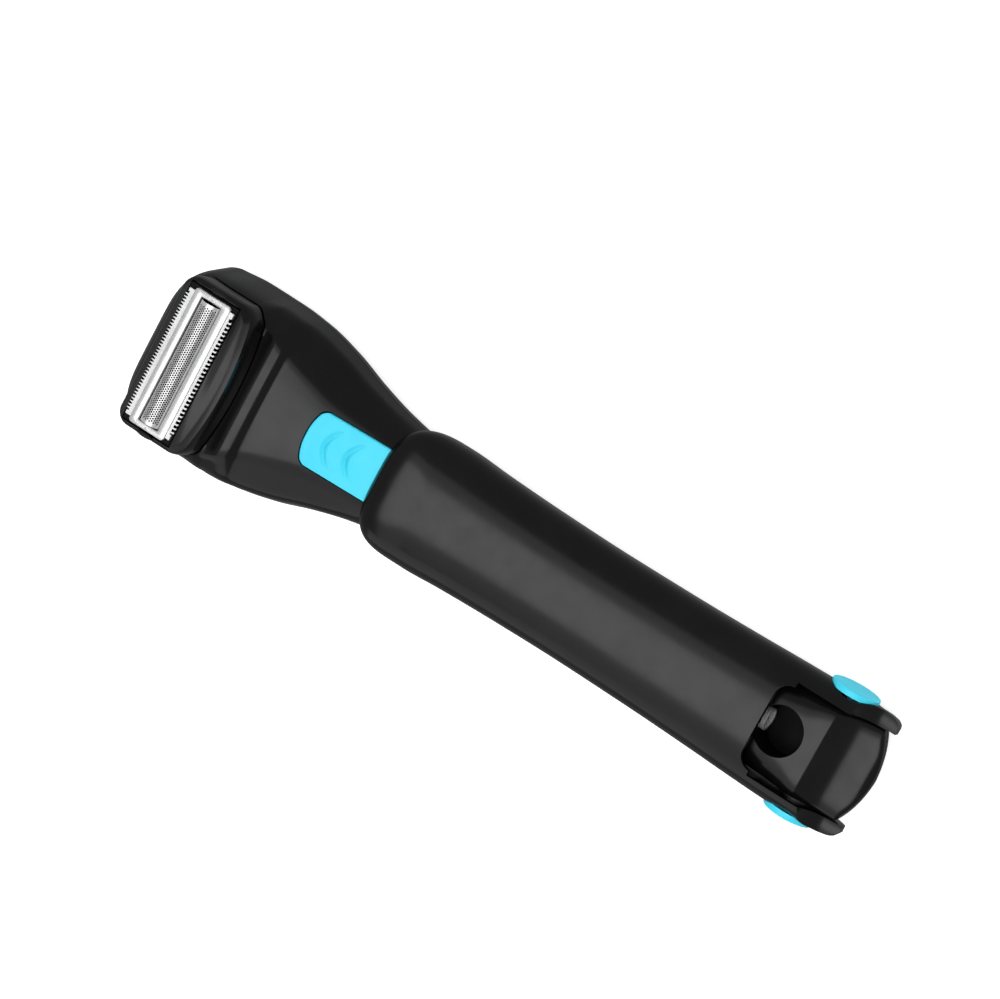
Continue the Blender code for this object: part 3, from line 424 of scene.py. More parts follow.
def make_finishes():
    return {
        "black_gloss": moulded_plastic("polished_black_plastic", grey(0.0025), grey(0.004, 0.05), 0.17,
                                       0.24, grain=0.5, depth=0.0016, IOR=1.49, Coat_Weight=0.08,
                                       Coat_Roughness=0.12),
        "black_matte": moulded_plastic("grained_black_plastic", grey(0.006), grey(0.01), 0.46, 0.6,
                                       grain=0.25, depth=0.01, IOR=1.48),
        "blue_plastic": moulded_plastic("satin_blue_plastic", (0.055, 0.72, 0.96), (0.075, 0.78, 0.98),
                                        0.36, 0.46, grain=0.3, depth=0.006, IOR=1.47,
                                        Subsurface_Weight=0.08, Subsurface_Scale=0.0006),
        "bright_steel": drawn_metal("bright_stamped_steel", grey(0.86), grey(0.95), 0.22, 0.34, 1,
                                    metallic=0.65, Anisotropic=0.35),
        "steel": drawn_metal("turned_steel", grey(0.42), grey(0.55, 0.02), 0.22, 0.4, 0),
        "dark_steel": drawn_metal("ground_blade_steel", grey(0.2), grey(0.3, 0.03), 0.25, 0.42, 1),
        "blued_steel": drawn_metal("blued_cutter_steel", grey(0.035), grey(0.06, 0.05), 0.4, 0.55, 1),
        # Painted shade: black plastic darkened further and made less reflective, so that the socket cup and the
        # pieces under the foil look like unlit recesses
        "painted_shade_black": moulded_plastic("painted_shade_black_plastic", grey(0.002), grey(0.004), 0.6, 0.75,
                                      grain=0.25, depth=0.01, IOR=1.35),
        "brass": drawn_metal("turned_brass", (0.66, 0.47, 0.2), (0.8, 0.6, 0.28), 0.22, 0.36, 0),
        "white_plastic": moulded_plastic("natural_acetal", grey(0.7, -0.04), grey(0.78, -0.03), 0.36,
                                         0.46, IOR=1.48, Subsurface_Weight=0.15,
                                         Subsurface_Scale=0.001),
        "green_board": moulded_plastic("solder_mask", (0.012, 0.1, 0.04), (0.02, 0.16, 0.07), 0.28, 0.4,
                                       grain=0.6, depth=0.006, IOR=1.5),
        "cell_wrap": moulded_plastic("shrink_wrap", (0.02, 0.09, 0.28), (0.03, 0.13, 0.36), 0.2, 0.32,
                                     grain=2.5, depth=0.02, IOR=1.5),
        "rubber": moulded_plastic("soft_rubber", grey(0.02), grey(0.035), 0.68, 0.82, grain=0.2,
                                  depth=0.012, IOR=1.45, Sheen_Weight=0.15),
    }


FINISHES = make_finishes()
# Nodes whose finish differs from that of their material slot; the socket cup, foil holder and cutter carrier take
# a black made darker and duller still, as painted shade
OTHER_FINISH = {"foil_cutter": "blued_steel", "blade_head_side": "dark_steel",
                "blade_tail_side": "dark_steel", "hinge_pin_left": "dark_steel",
                "hinge_pin_right": "dark_steel", "socket_cup": "painted_shade_black", "jack_ring": "bright_steel",
                "foil_holder": "painted_shade_black", "cutter_carrier": "painted_shade_black"}
SLOTS = {part["node"]: part["material_slot"] for part in frame["record"]["subparts"]}


def finish_nodes():
    """Every CAD node that stays in view gets its procedural finish."""
    for name, obj in frame["nodes"].items():
        key = OTHER_FINISH.get(name, SLOTS[name])
        for slot in obj.material_slots:
            slot.material = FINISHES[key]


def stand_for(obj, body, *nodes, angle=32.0):
    """obj takes the place of CAD nodes on a body, with the slot and finish that they have."""
    slot = SLOTS[nodes[0]]
    obj.data.materials.clear()
    obj.data.materials.append(FINISHES[OTHER_FINISH.get(nodes[0], slot)])
    smooth(obj, angle)
    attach(obj, body)
    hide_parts(*nodes)


# ---------------------------------------------------------------- body shells
def nose_factor(x):
    """1 along the body, falling to 0 on a rounded curve at the head end."""
    reach_in = (NOSE_X + NOSE_LENGTH - x) / NOSE_LENGTH
    if reach_in <= 0:
        return 1.0
    return max(0.0, 1 - min(reach_in, 1.0)**NOSE_POWER)**(1 / NOSE_POWER)


def body_half_width(x):
    """Half the body's width, rounded in at the head end and on a wide arc at the tail."""
    depth = min(max(0.0, TAIL_X - x), TAIL_ARC_RADIUS)
    tail = math.sqrt(TAIL_ARC_RADIUS**2 - (TAIL_ARC_RADIUS - depth)**2)
    return min(smooth_value(BODY_PLAN, x) * nose_factor(x), tail)


def arch_half(half_width, rise, power, taper):
    """The +Y half of a flattened arch, from its foot to the centre line: (y, height)."""
    points = []
    for i in range(ARCH_STEPS + 1):
        angle = math.pi / 2 * i / ARCH_STEPS
        height = math.sin(angle)**(2 / power)
        points.append((half_width * (1 - taper * height) * abs(math.cos(angle))**(2 / power),
                       rise * height))
    return points


def front_section(x):
    """The front shell's section: a plain arch, or a flat panel with creased shoulders by the switch."""
    half_width = max(body_half_width(x), 0.0)
    foot = PARTING_Z + HALF_GAP
    rise = (smooth_value(BODY_TOP, x) - PARTING_Z) * nose_factor(x)
    arch = resample(arch_half(half_width, rise, smooth_value(BODY_POWER, x),
                              smooth_value(BODY_TAPER, x)), ACROSS)
    share = smooth_value(PANEL_SHARE, x)
    if share > 0:
        panel = min(smooth_value(PANEL_HALF, x), half_width - 3.0)
        flank_top = 0.64 * rise
        creased = rounded_path([((half_width, 0.0), 0), ((half_width * 0.945, flank_top), 2.6),
                                ((panel, rise - 0.45), 1.8), ((panel / 2, rise - 0.1), 4.0),
                                ((0.0, rise), 0)])
        creased = resample(creased, ACROSS)
        arch = [tuple(a + (c - a) * share for a, c in zip(p, q)) for p, q in zip(arch, creased)]
    return mirrored([(y, foot + h) for y, h in arch])


def rear_section(x):
    """The rear shell's section, cut off flat where it rests."""
    depth = smooth_value(REAR_DEPTH, x) * nose_factor(x)
    arch = resample(arch_half(max(body_half_width(x), 0.0), depth, 3.0, 0.0), ACROSS)
    return mirrored([(y, max(0.0, PARTING_Z - HALF_GAP - h)) for y, h in arch])


def body_stations():
    """Where the shells' sections are taken, closest at the rounded ends and the ledge."""
    nose = [NOSE_X + NOSE_LENGTH * (1 - math.cos(math.radians(a))) for a in range(0, 90, 4)]
    middle = (spread(NOSE_X + NOSE_LENGTH, -85, 1.5) + spread(-85, -69, 0.4) + spread(-69, -30, 1.2)
              + spread(-30, 90, 3.0) + spread(90, 106, 0.5))
    tail = [TAIL_X - 3.4 * (1 - math.sin(math.radians(a))) for a in range(0, 91, 9)]
    return nose + middle + tail


def make_shell(name, section, outward):
    """One half of the body as a thin shell."""
    bm = skin([[(x, y, z) for y, z in section(x)] for x in body_stations()])
    if not outward:
        bmesh.ops.reverse_faces(bm, faces=bm.faces)
    shell = make_object(name, bm)
    thicken(shell, WALL, even=True)
    return shell


def switch_plane(x, y=0.0):
    """Height of the front panel's slope under the switch."""
    start, end = smooth_value(BODY_TOP, SWITCH_X0), smooth_value(BODY_TOP, SWITCH_X1)
    return HALF_GAP + start + (end - start) * (x - SWITCH_X0) / (SWITCH_X1 - SWITCH_X0)


def switch_head_x(y, half):
    """X of the switch's bowed head end at a distance from its centre line."""
    x = SWITCH_X0 + SWITCH_BOW * abs(y / half)**2.4
    inside = abs(y) - (half - SWITCH_CORNER)
    if inside > 0:
        x += SWITCH_CORNER - math.sqrt(max(0.0, SWITCH_CORNER**2 - inside**2))
    return x


def switch_slot_outline(grow):
    """Plan of the slot that the switch slides in, larger than the switch by grow."""
    half = SWITCH_HALF + grow
    steps = 48
    edge = [(switch_head_x(half * math.sin(math.pi / 2 * t), half) - grow,
             half * math.sin(math.pi / 2 * t))
            for t in (1 - 2 * i / steps for i in range(steps + 1))]
    return edge + [(SWITCH_X1 + SWITCH_TRAVEL + grow, -half), (SWITCH_X1 + SWITCH_TRAVEL + grow, half)]


def casing_outline(inset, tail_inset=0.0, corner_steps=12):
    """Plan of the head casing: rounded ends, and a tail side that bows out."""
    x0 = CASING_LOW.x + inset
    x1 = CASING_HIGH.x - CASING_BULGE - tail_inset
    half = CASING_HIGH.y - inset
    corner = CASING_CORNER - 0.5 * inset
    outline = (arc((x1 - corner, half - corner), corner, 0, 90, corner_steps)
               + arc((x0 + corner, half - corner), corner, 90, 180, corner_steps)
               + arc((x0 + corner, corner - half), corner, 180, 270, corner_steps)
               + arc((x1 - corner, corner - half), corner, 270, 360, corner_steps))
    steps = 40
    outline += [(x1, (corner - half) * (1 - 2 * i / steps)) for i in range(1, steps)]
    bowed = []
    for x, y in outline:
        if x > x1 - corner and abs(y) < half:
            x += CASING_BULGE * (1 - (y / half)**2) * (x - x1 + corner) / corner
        bowed.append((x, y))
    return bowed


def make_body():
    front = make_shell("front_shell_skin", front_section, True)
    foot = PARTING_Z + HALF_GAP + 0.01
    combine(front, block("trim", (-120, -40, PARTING_Z - 6), (120, 40, foot)))
    combine(front, prism("pocket", casing_outline(-CASING_GAP, -CASING_GAP), CASING_LOW.z - 0.4, 40))
    combine(front, prism("slot", switch_slot_outline(0.3), 12, 26))
    combine(front, rod("socket", SOCKET_RADIUS, (SOCKET_X, 0, 12), 12, steps=96))
    rear = make_shell("rear_shell_skin", rear_section, False)
    foot = PARTING_Z - HALF_GAP - 0.01
    combine(rear, block("trim", (-120, -40, foot), (120, 40, PARTING_Z + 6)))
    for node in SCREWS:
        low, high = reach(node)
        x, y = (low.x + high.x) / 2, (low.y + high.y) / 2
        combine(rear, rod("boss", SCREW_BOSS_RADIUS, (x, y, 0.8), PARTING_Z - 1.6), "UNION")
        combine(rear, rod("bore", SCREW_BORE_RADIUS, (x, y, -1), 12))
        combine(rear, rod("counterbore", SCREW_COUNTERBORE_RADIUS, (x, y, -1), 4.2))
    for shell in (front, rear):
        for start in (6, -14):
            combine(shell, rod("hinge_bore", HINGE_BORE_RADIUS, (HINGE_X, start, HINGE_Z), 8, "Y"))
    stand_for(front, "body", "front_shell", angle=38)
    stand_for(rear, "body", "rear_shell", angle=38)


# ---------------------------------------------------------------- handle
def handle_row(spine_x, lead, share):
    """Outer face of the channel from its rim up to the centre line, over one point of its outline.

    Along the sides the outline point lies level with the spine (lead 0) and takes the whole half-width
    (share 1); round the tip it leads the spine towards -X and takes less and less of it.
    """
    half_width = smooth_value(HANDLE_PLAN, spine_x) * share
    power = HANDLE_POWER + (TIP_POWER - HANDLE_POWER) * (lead / TIP_LENGTH)**2
    rim = smooth_value(HANDLE_RIM, spine_x + lead)
    foot = (rim - smooth_value(HANDLE_TOP, spine_x + lead)) / HANDLE_DROP + 1
    lowest = math.asin(max(0.0, foot)**(power / 2))
    row = [(spine_x + lead, half_width, rim)] if foot < 0 else []
    for i in range(ARCH_STEPS + 1):
        angle = lowest + (math.pi / 2 - lowest) * i / ARCH_STEPS
        out, height = abs(math.cos(angle))**(2 / power), math.sin(angle)**(2 / power)
        x = spine_x + lead * out
        row.append((x, half_width * out, smooth_value(HANDLE_TOP, x) - HANDLE_DROP * (1 - height)))
    return tucked(resample(row, ACROSS))


def tucked(row):
    """The row with its side wall leaning in towards the rim."""
    result = []
    bend_depth = TUCK_SLOPE / (2 * TUCK_BEND)
    for x, y, z in row:
        depth = max(0.0, TUCK_Z - z)
        lean = TUCK_BEND * min(depth, bend_depth)**2 + TUCK_SLOPE * max(0.0, depth - bend_depth)
        result.append((x, max(0.0, y - lean), z))
    return result


def handle_rows(stations):
    """Rows over the whole channel, from the -Y ear round the tip to the +Y ear."""
    rows = [handle_row(x, 0.0, 1.0) for x in reversed(stations)]
    for degrees in range(0, 91, 3):
        lead = TIP_LENGTH * math.sin(math.radians(degrees))**(2 / TIP_PLAN_POWER)
        share = abs(math.cos(math.radians(degrees)))**(2 / TIP_PLAN_POWER)
        rows.append(handle_row(HANDLE_TIP_X + TIP_LENGTH, -lead, share))
    return [[(x, -y, z) for x, y, z in row] for row in rows] + list(reversed(rows[:-1]))


def ear_core(name):
    """What lies under the channel's outer face at the ears, as a solid."""
    inset = 0.03
    rings = []
    for x in spread(EAR_START_X, EAR_END_X, 0.6) + [EAR_END_X]:
        half = [(max(0.0, y - inset), z - inset) for _, y, z in handle_row(x, 0.0, 1.0)]
        half[0] = (half[0][0], 0.0)
        rings.append([(x, y, z) for y, z in mirrored(half)])
    return loft(name, rings)


def ear_cheek(name, low_y, high_y):
    """The thick plate of an ear: round under the hinge, then running out to the handle's end."""
    outline = [(HINGE_X - 9.5, 24.0)] + arc((HINGE_X, HINGE_Z), EAR_RADIUS, 180, 315, 40)
    outline += [(EAR_END_X - 2.0, HINGE_Z - 4.6), (EAR_END_X - 0.5, HINGE_Z - 3.6),
                (EAR_END_X, HINGE_Z - 2.0), (EAR_END_X, 24.0)]
    return loft(name, [[(x, y, z) for x, z in outline] for y in (low_y, high_y)])


def make_handle():
    stations = (spread(HANDLE_TIP_X + TIP_LENGTH + 0.6, -10, 1.0) + spread(-10, 76, 3.0)
                + spread(76, 103, 1.0) + spread(103, EAR_END_X, 0.4) + [EAR_END_X])
    handle = make_object("handle_channel", skin(handle_rows(stations)))
    thicken(handle, HANDLE_WALL, even=True)
    room = mirrored([(TIP_ROOM_HALF, 5.0), (TIP_ROOM_HALF, 15.8), (12.0, TIP_ROOM_Z), (0.0, TIP_ROOM_Z)])
    combine(handle, loft("tip_room", [[(x, y, z) for y, z in room] for x in (-45.0, -24.0)]))
    for side in (-1, 1):
        low_y, high_y = sorted((side * (EAR_INNER_Y + 0.02), side * (EAR_OUTER_Y + 1.0)))
        cheek = ear_cheek("cheek", low_y, high_y)
        combine(cheek, ear_core("ear_core"), "INTERSECT")
        combine(handle, cheek, "UNION")
    corner_x, corner_y = NOTCH_X + NOTCH_CORNER, NOTCH_HALF_WIDTH - NOTCH_CORNER
    notch = (arc((corner_x, corner_y), NOTCH_CORNER, 90, 180, 16)
             + arc((corner_x, -corner_y), NOTCH_CORNER, 180, 270, 16)
             + [(120, -NOTCH_HALF_WIDTH), (120, NOTCH_HALF_WIDTH)])
    combine(handle, prism("notch", notch, 12, 30))
    combine(handle, block("tail_room", (EAR_START_X, -EAR_INNER_Y, -5), (120, EAR_INNER_Y, 30)))
    combine(handle, rod("ear_scoop", EAR_SCOOP_RADIUS, (EAR_SCOOP_X, -30, EAR_SCOOP_Z), 60, "Y", 160))
    round_edges(handle, 0.4, 3, 60)
    for side in (-1, 1):
        combine(handle, rod("bore", HINGE_BORE_RADIUS, (HINGE_X, side * 15 - 5, HINGE_Z), 10, "Y"))
        start = BUTTON_POCKET_Y if side > 0 else -BUTTON_POCKET_Y - 10
        combine(handle, rod("pocket", BUTTON_POCKET_RADIUS, (HINGE_X, start, HINGE_Z), 10, "Y", 96))
    stand_for(handle, "folding_handle", "handle", angle=38)


def make_buttons():
    """Release buttons: flat discs with a crisp edge, each on a thin stem."""
    face, radius, stem = BUTTON_HIGH.y - 0.7, 6.4, 1.2
    back, stem_end = 16.1, 9.8
    profile = [(0, face - 0.06), (3.0, face - 0.04), (5.6, face), (6.05, face - 0.04), (6.3, face - 0.15),
               (6.44, face - 0.32), (radius, face - 0.55), (radius, back), (stem, back),
               (stem, stem_end), (0, stem_end)]
    for side, word in ((-1, "left"), (1, "right")):
        place = Matrix.Translation((HINGE_X, 0, HINGE_Z)) @ Matrix.Rotation(-side * math.pi / 2, 4, "X")
        button = lathe(f"button_cap_{word}", profile, place)
        stand_for(button, f"{word}_button", f"release_button_{word}")


# ---------------------------------------------------------------- cutting head
def make_casing():
    """The head's casing, lofted through (height, inset, tail inset) levels, and its oval end pads."""
    levels = [(CASING_LOW.z, 0, 0), (27.6, 0, 0), (28.6, 0.03, 0.12), (29.6, 0.1, 0.35),
              (30.5, 0.3, 0.65), (30.8, 0.42, 0.8), (30.95, 0.55, 1.15), (31.3, 0.8, 1.75),
              (31.6, 1.05, 2.15), (CASING_HIGH.z, 1.3, 2.5)]
    casing = loft("casing_shell", [[(x, y, z) for x, y in casing_outline(inset, tail)]
                                   for z, inset, tail in levels])
    combine(casing, block("hollow", (-100.3, -19.9, 20), (-82.9, 19.9, 30.2)))
    combine(casing, block("window", (HEAD_X - 8.0, -19.9, 25), (HEAD_X + 7.5, 19.9, 40)))
    stand_for(casing, "head_unit", "head_casing")
    for side, word in ((-1, "left"), (1, "right")):
        profile = [(0, 0.5), (1.0, 0.48), (1.8, 0.4), (2.3, 0.26), (2.55, 0.08), (2.6, -0.1),
                   (2.6, -0.25), (0, -0.25)]
        place = (Matrix.Translation((HEAD_X, side * 20.35, CASING_HIGH.z + 0.45))
                 @ Matrix.Diagonal((1.0, 0.23, 1.0, 1.0)))
        stand_for(lathe(f"pad_{word}", profile, place, 64), "head_unit", f"end_pad_{word}")


def rounded_rectangle(half_x, half_y, radius, centre_x):
    x, y = half_x - radius, half_y - radius
    return [point for i, (sign_x, sign_y) in enumerate(((1, 1), (-1, 1), (-1, -1), (1, -1)))
            for point in arc((centre_x + sign_x * x, sign_y * y), radius, 90 * i, 90 * i + 90, 8)]


def ring_plate(name, outer, inner, z0, z1, edge, centre_x):
    """A flat frame: (half x, half y, radius) outside and inside, with rounded edges."""
    rings = []
    for (hx, hy, radius), grow, z in ((outer, 0, z0), (outer, 0, z1 - edge),
                                      (outer, -edge * 0.3, z1 - edge * 0.3), (outer, -edge, z1),
                                      (inner, edge, z1), (inner, edge * 0.3, z1 - edge * 0.3),
                                      (inner, 0, z1 - edge), (inner, 0, z0)):
        plan = rounded_rectangle(hx + grow, hy + grow, radius + grow, centre_x)
        rings.append([(x, y, z) for x, y in plan])
    return loft(name, rings + [rings[0]], capped=False)


def weld(obj):
    """Closes the seam of a loft that runs round into itself."""
    bm = bmesh.new()
    bm.from_mesh(obj.data)
    bmesh.ops.remove_doubles(bm, verts=bm.verts, dist=1e-6)
    bmesh.ops.recalc_face_normals(bm, faces=bm.faces)
    bm.to_mesh(obj.data)
    bm.free()


def make_foil_frame():
    half_x = (RIM_HIGH.x - RIM_LOW.x) / 2
    plate = ring_plate("stamped_frame", (half_x + 0.22, RIM_HIGH.y, 0.9), (3.2, 17.6, 0.4), RIM_LOW.z,
                       RIM_HIGH.z, 0.2, HEAD_X)
    weld(plate)
    for side in (-1, 1):
        combine(plate, rod("dimple", 0.35, (HEAD_X, side * 18.4, RIM_HIGH.z - 0.3), 1.0, steps=24))
    stand_for(plate, "head_unit", "foil_frame")


FOIL_THICKNESS, FOIL_MARGIN = 0.09, 0.8
FOIL_PITCH, FOIL_ROW_PITCH = 0.66, 0.57
HOLE_SHARE = 0.41          # radius of a hole as a share of the pitch


def make_foil():
    """A thin arched sheet with staggered hexagonal holes between plain edges."""
    radius = (FOIL_HIGH.x - FOIL_LOW.x) / 2
    axis_z = FOIL_HIGH.z - radius
    half_y = FOIL_HIGH.y
    first, last = math.radians(28), math.radians(152)
    arc_length = radius * (last - first)
    start = FOIL_MARGIN - half_y
    rows = round(arc_length / FOIL_ROW_PITCH)
    columns = round(-2 * start / FOIL_PITCH)
    width, height = -2 * start / columns, arc_length / rows
    hole = HOLE_SHARE * width
    bm = bmesh.new()

    def vertex(y, s):
        angle = first + s / radius
        return bm.verts.new((HEAD_X + radius * math.cos(angle), y, axis_z + radius * math.sin(angle)))

    def cell(y0, y1, s0, s1, pierced):
        ym, sm = (y0 + y1) / 2, (s0 + s1) / 2
        rim = [vertex(*p) for p in ((y0, s0), (ym, s0), (y1, s0), (y1, s1), (ym, s1), (y0, s1))]
        if not pierced:
            bm.faces.new(rim)
            return
        corners = [vertex(ym + hole * math.cos(math.radians(a)), sm + hole * math.sin(math.radians(a)))
                   for a in (210, 270, 330, 30, 90, 150)]
        for i in range(6):
            j = (i + 1) % 6
            bm.faces.new((rim[i], rim[j], corners[j], corners[i]))

    for row in range(rows):
        s0, s1 = row * height, (row + 1) * height
        if row % 2 == 0:
            for column in range(columns):
                cell(start + column * width, start + (column + 1) * width, s0, s1, True)
        else:
            cell(start, start + width / 2, s0, s1, False)
            for column in range(columns - 1):
                low = start + (column + 0.5) * width
                cell(low, low + width, s0, s1, True)
            cell(start + (columns - 0.5) * width, start + columns * width, s0, s1, False)
    # Plain edges: strips along both sides and both ends, matched to the cells' corners.
    plain = [-first * radius + first * radius * i / 4 for i in range(5)]
    for side_strip in (plain, [arc_length - p for p in reversed(plain)]):
        for s0, s1 in zip(side_strip, side_strip[1:]):
            for column in range(2 * columns):
                y0 = start + column * width / 2
                bm.faces.new([vertex(*p) for p in ((y0, s0), (y0 + width / 2, s0),
                                                   (y0 + width / 2, s1), (y0, s1))])
    levels = plain + [row * height for row in range(1, rows)] + [arc_length - p for p in reversed(plain)]
    for y0, y1 in ((-half_y, start), (-start, half_y)):
        for s0, s1 in zip(levels, levels[1:]):
            bm.faces.new([vertex(*p) for p in ((y0, s0), (y1, s0), (y1, s1), (y0, s1))])
    bmesh.ops.remove_doubles(bm, verts=bm.verts, dist=0.001)
    bmesh.ops.recalc_face_normals(bm, faces=bm.faces)
    foil = make_object("perforated_foil", bm)
    thicken(foil, FOIL_THICKNESS)
    stand_for(foil, "head_unit", "foil", angle=40)


def toothed_plate(name, back_x, root_x, tip_x, half_y, pitch, tooth, z0, z1):
    """A flat bar with teeth along one side: tooth is a list of (share of pitch, share of depth)."""
    plain_end = 1.2
    count = int(2 * (half_y - plain_end) / pitch)
    start = -count * pitch / 2
    shoulder = root_x + (tip_x - root_x) * 0.55
    edge = [(shoulder, -half_y), (shoulder, start - 0.3), (root_x, start - 0.3)]
    for i in range(count):
        for share, depth in tooth:
            edge.append((root_x + (tip_x - root_x) * depth, start + (i + share) * pitch))
    edge += [(root_x, -start + 0.3), (shoulder, -start + 0.3), (shoulder, half_y)]
    outline = edge + [(back_x, half_y), (back_x, -half_y)]
    bm = bmesh.new()
    low = [bm.verts.new((x, y, z0)) for x, y in outline]
    high = [bm.verts.new((x, y, z1)) for x, y in outline]
    for i in range(len(outline)):
        j = (i + 1) % len(outline)
        bm.faces.new((low[i], low[j], high[j], high[i]))
    caps = [bm.faces.new(list(reversed(low))), bm.faces.new(high)]
    bmesh.ops.triangulate(bm, faces=caps)
    bmesh.ops.recalc_face_normals(bm, faces=bm.faces)
    return make_object(name, bm)


POINTED_TOOTH = [(0.08, 0.0), (0.36, 1.0), (0.5, 1.0), (0.72, 0.0)]
HOOKED_TOOTH = [(0.1, 0.0), (0.12, 0.8), (0.2, 1.0), (0.5, 1.0), (0.62, 0.86), (0.46, 0.72), (0.42, 0.0)]
BLADE_TOOTH = [(0.1, 0.0), (0.22, 1.0), (0.62, 1.0), (0.74, 0.0)]


def make_trimmers():
    """The two fixed combs beside the foil, and the toothed blades that slide under them."""
    for word, side, pitch, tooth in (("head_side", -1, 0.86, POINTED_TOOTH),
                                     ("tail_side", 1, 1.16, HOOKED_TOOTH)):
        low, high = reach(f"comb_{word}")
        back, tip = (high.x, low.x - 0.3) if side < 0 else (low.x, high.x + 0.35)
        root = back + side * (abs(tip - back) - 0.95)
        comb = toothed_plate(f"comb_{word}_teeth", back, root, tip, high.y, pitch, tooth, low.z, high.z)
        stand_for(comb, "head_unit", f"comb_{word}")
        low, high = reach(f"blade_{word}")
        back, tip = (high.x, low.x) if side < 0 else (low.x, high.x)
        blade = toothed_plate(f"blade_{word}_teeth", back, back + side * 0.5, tip, high.y, 0.78,
                              BLADE_TOOTH, low.z, high.z)
        stand_for(blade, "cutters", f"blade_{word}")


def make_foil_cutter():
    """The cutter under the foil: a spine with a row of thin half-round blades."""
    foil_radius = (FOIL_HIGH.x - FOIL_LOW.x) / 2
    blade_radius, spine_radius = foil_radius - 0.35, 1.75
    axis_z, floor_z = FOIL_HIGH.z - foil_radius, CUTTER_LOW.z
    blades, thickness = 34, 0.22
    pitch = (CUTTER_HIGH.y - CUTTER_LOW.y - thickness) / (blades - 1)
    steps = []
    for i in range(blades):
        y = CUTTER_LOW.y + i * pitch
        steps += [(y, spine_radius), (y, blade_radius), (y + thickness, blade_radius),
                  (y + thickness, spine_radius)]
    rings = []
    for y, r in steps[1:-1]:
        upper = [(HEAD_X + r * math.cos(math.radians(a)), y,
                  max(floor_z, axis_z + r * math.sin(math.radians(a)))) for a in range(0, 181, 12)]
        rings.append(upper + [(HEAD_X - r, y, floor_z), (HEAD_X + r, y, floor_z)])
    stand_for(loft("foil_cutter_blades", rings), "cutters", "foil_cutter")


# ---------------------------------------------------------------- slide switch
RIDGES = ((SWITCH_X0 + 6.0, 5.2), (SWITCH_X0 + 12.4, 5.1))    # apex x and half-width of each


def ridge_height(x, y):
    """Two crescent grip ridges, convex towards the head, each with a scoop behind it."""
    height = 0.0
    for apex, half in RIDGES:
        if abs(y) >= half:
            continue
        fade = (1 - (y / half)**2)**0.9
        behind = x - (apex + 2.9 * (y / half)**2)
        if behind < 0:
            height += 0.45 * fade * math.exp(-(behind / 0.8)**2)
        else:
            height += fade * (0.61 * math.exp(-(behind / 0.55)**2)
                              - 0.16 * math.exp(-((behind - 1.0) / 0.8)**2))
    return height


def make_switch():
    """The switch's cap: a fine grid over its top, with walls down into the slot."""
    half, edge = SWITCH_HALF, 0.5
    across, along = 90, 150
    bm = bmesh.new()
    rows = []
    for i in range(across + 1):
        v = -1 + 2 * i / across
        y = half * math.sin(math.pi / 2 * v)
        head = switch_head_x(y, half)
        row = []
        for k in range(along + 1):
            t = k / along
            t = t * (0.35 + 0.65 * t) if t < 1 else 1.0
            x = head + (SWITCH_X1 - head) * t
            margin = min(half - abs(y), (x - head) * 0.9, SWITCH_X1 - x)
            drop = 0.0
            if margin < edge:
                drop = edge - math.sqrt(max(0.0, edge**2 - (edge - margin)**2))
            top = switch_plane(x) + 0.2 + 0.12 * (1 - (y / half)**2)
            row.append((x, y, top - drop + ridge_height(x, y)))
        rows.append(row)
    grid = [[bm.verts.new(point) for point in row] for row in rows]
    for row, following in zip(grid, grid[1:]):
        for k in range(along):
            bm.faces.new((row[k], row[k + 1], following[k + 1], following[k]))
    rim = (grid[0] + [row[-1] for row in grid[1:]] + list(reversed(grid[-1]))[1:]
           + [row[0] for row in reversed(grid)][1:-1])
    base = [bm.verts.new((v.co.x, v.co.y, switch_plane(v.co.x) - 1.9)) for v in rim]
    for i in range(len(rim)):
        j = (i + 1) % len(rim)
        bm.faces.new((rim[i], base[i], base[j], rim[j]))
    bottom = bm.faces.new(list(reversed(base)))
    bmesh.ops.triangulate(bm, faces=[bottom])
    bmesh.ops.remove_doubles(bm, verts=bm.verts, dist=0.0005)
    bmesh.ops.dissolve_degenerate(bm, dist=0.0003, edges=bm.edges)
    bmesh.ops.recalc_face_normals(bm, faces=bm.faces)
    stand_for(make_object("switch_cap", bm), "switch", "slide_switch", angle=50)


# ---------------------------------------------------------------- small metal pieces
def make_jack_ring():
    """The metal sleeve of the jack, with rounded rims."""
    low, high = reach("jack_ring")
    centre = (low + high) / 2
    place = Matrix.Translation(centre) @ Matrix.Rotation(math.radians(90), 4, "Y")
    profile = [(2.4, 1.0), (2.5, 1.1), (2.9, 1.1), (3.0, 1.0), (3.0, -1.0), (2.9, -1.1), (2.5, -1.1),
               (2.4, -1.0)]
    stand_for(lathe("jack_sleeve", profile, place, 72, closed=True), "body", "jack_ring")


def make_screws():
    """Pan-head screws with a cross recess, seen in the rear shell's counterbores."""
    for node in SCREWS:
        low, high = reach(node)
        x, y = (low.x + high.x) / 2, (low.y + high.y) / 2
        radius = (high.x - low.x) / 2
        profile = [(0, high.z), (0.85, high.z), (1.0, high.z - 0.5), (1.0, low.z + 1.5),
                   (radius, low.z + 1.5), (radius, low.z + 0.6), (radius - 0.15, low.z + 0.25),
                   (radius - 0.5, low.z), (0, low.z)]
        screw = lathe(f"{node}_turned", profile, Matrix.Translation((x, y, 0)), 40)
        for a, b in ((1.1, 0.22), (0.22, 1.1)):
            combine(screw, block("recess", (x - a, y - b, low.z - 1), (x + a, y + b, low.z + 0.8)))
        stand_for(screw, "body", node)


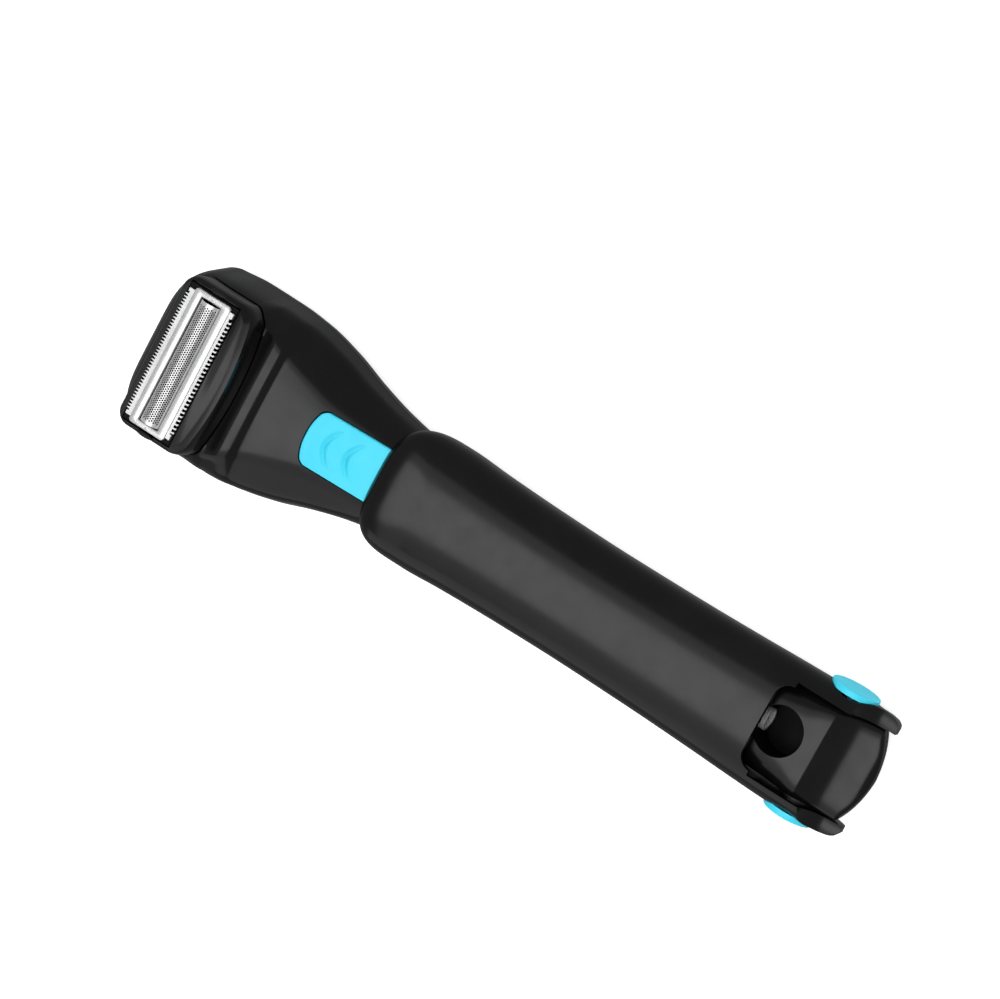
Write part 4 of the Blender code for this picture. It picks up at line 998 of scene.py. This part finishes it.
# ---------------------------------------------------------------- stage, light and camera
def make_stage():
    """A wide pale floor just under the groomer, left out of its reflections to keep the sides dark."""
    half = 3000.0
    bm = bmesh.new()
    bm.faces.new([bm.verts.new((x, y, 0)) for x, y in ((-half, -half), (half, -half), (half, half),
                                                       (-half, half))])
    floor = make_object("floor", bm)
    floor.location.z = -0.2 * MM
    floor.visible_glossy = False
    finish = Finish("pale_floor", Roughness=0.7, Emission_Color=(1, 1, 1, 1), Emission_Strength=0.75)
    finish.colours(finish.noise(900.0), (0.3, grey(0.83)), (0.7, grey(0.86)))
    floor.data.materials.append(finish.material)


def area_light(name, place, size, power, target=None):
    """A rectangular light that faces a target, or straight down without one."""
    light = bpy.data.lights.new(name, "AREA")
    light.shape = "RECTANGLE"
    light.size, light.size_y = size
    light.energy = power
    obj = bpy.data.objects.new(name, light)
    obj.location = place
    if target is not None:
        obj.rotation_euler = (Vector(target) - Vector(place)).to_track_quat("-Z", "Y").to_euler()
    bpy.context.scene.collection.objects.link(obj)
    return obj


def make_light():
    """Soft panels above, one from the side, and a fill that shows in no reflection."""
    world = bpy.data.worlds.new("studio")
    world.use_nodes = True
    background = world.node_tree.nodes["Background"]
    background.inputs["Color"].default_value = (0.97, 0.98, 1.0, 1)
    background.inputs["Strength"].default_value = 0.2
    bpy.context.scene.world = world
    area_light("overhead_panel", (0.2, -0.66, 1.2), (1.6, 1.8), 4.1)
    area_light("overhead_core", (0.2, -0.27, 1.18), (1.6, 0.36), 2.5)
    area_light("side_wall", (0.0, -2.2, 0.8), (3.0, 1.5), 7.0, target=(0, 0, 0))
    fill = area_light("diffuse_fill", (0.0, 0.0, 2.0), (2.0, 2.0), 27.5)
    fill.visible_glossy = False


VIEW_DIRECTION = Vector((0.358, 0.206, 1.0)).normalized()
VIEW_ROLL = math.radians(32.33)
VIEW_DISTANCE = 998.0
VIEW_OFFSET = (-7.4, 13.7)     # right and up from the picture's centre line, in millimetres
VIEW_ORIGIN = Vector((2.6, 0.0, 0.0))


def make_camera():
    """A long lens over the groomer, rolled so that it runs from the top left to the bottom right."""
    level = (Vector((1, 0, 0)) - VIEW_DIRECTION * VIEW_DIRECTION.x).normalized()
    across = VIEW_DIRECTION.cross(level)
    right = level * math.cos(VIEW_ROLL) + across * math.sin(VIEW_ROLL)
    up = across * math.cos(VIEW_ROLL) - level * math.sin(VIEW_ROLL)
    camera = bpy.data.cameras.new("camera")
    camera.sensor_width = 36.0
    camera.lens = 144.0
    camera.clip_start, camera.clip_end = 0.05, 20.0
    obj = bpy.data.objects.new("camera", camera)
    place = (right * VIEW_OFFSET[0] + up * VIEW_OFFSET[1] + VIEW_DIRECTION * VIEW_DISTANCE
             + VIEW_ORIGIN) * MM
    rotation = Matrix((right, up, VIEW_DIRECTION)).transposed().to_4x4()
    obj.matrix_world = Matrix.Translation(place) @ rotation
    bpy.context.scene.collection.objects.link(obj)
    bpy.context.scene.camera = obj
    bpy.context.scene.view_settings.view_transform = "Standard"


def main():
    finish_nodes()
    make_body()
    make_handle()
    make_buttons()
    make_casing()
    make_foil_frame()
    make_foil()
    make_trimmers()
    make_foil_cutter()
    make_switch()
    make_jack_ring()
    make_screws()
    make_stage()
    make_light()
    make_camera()


main()
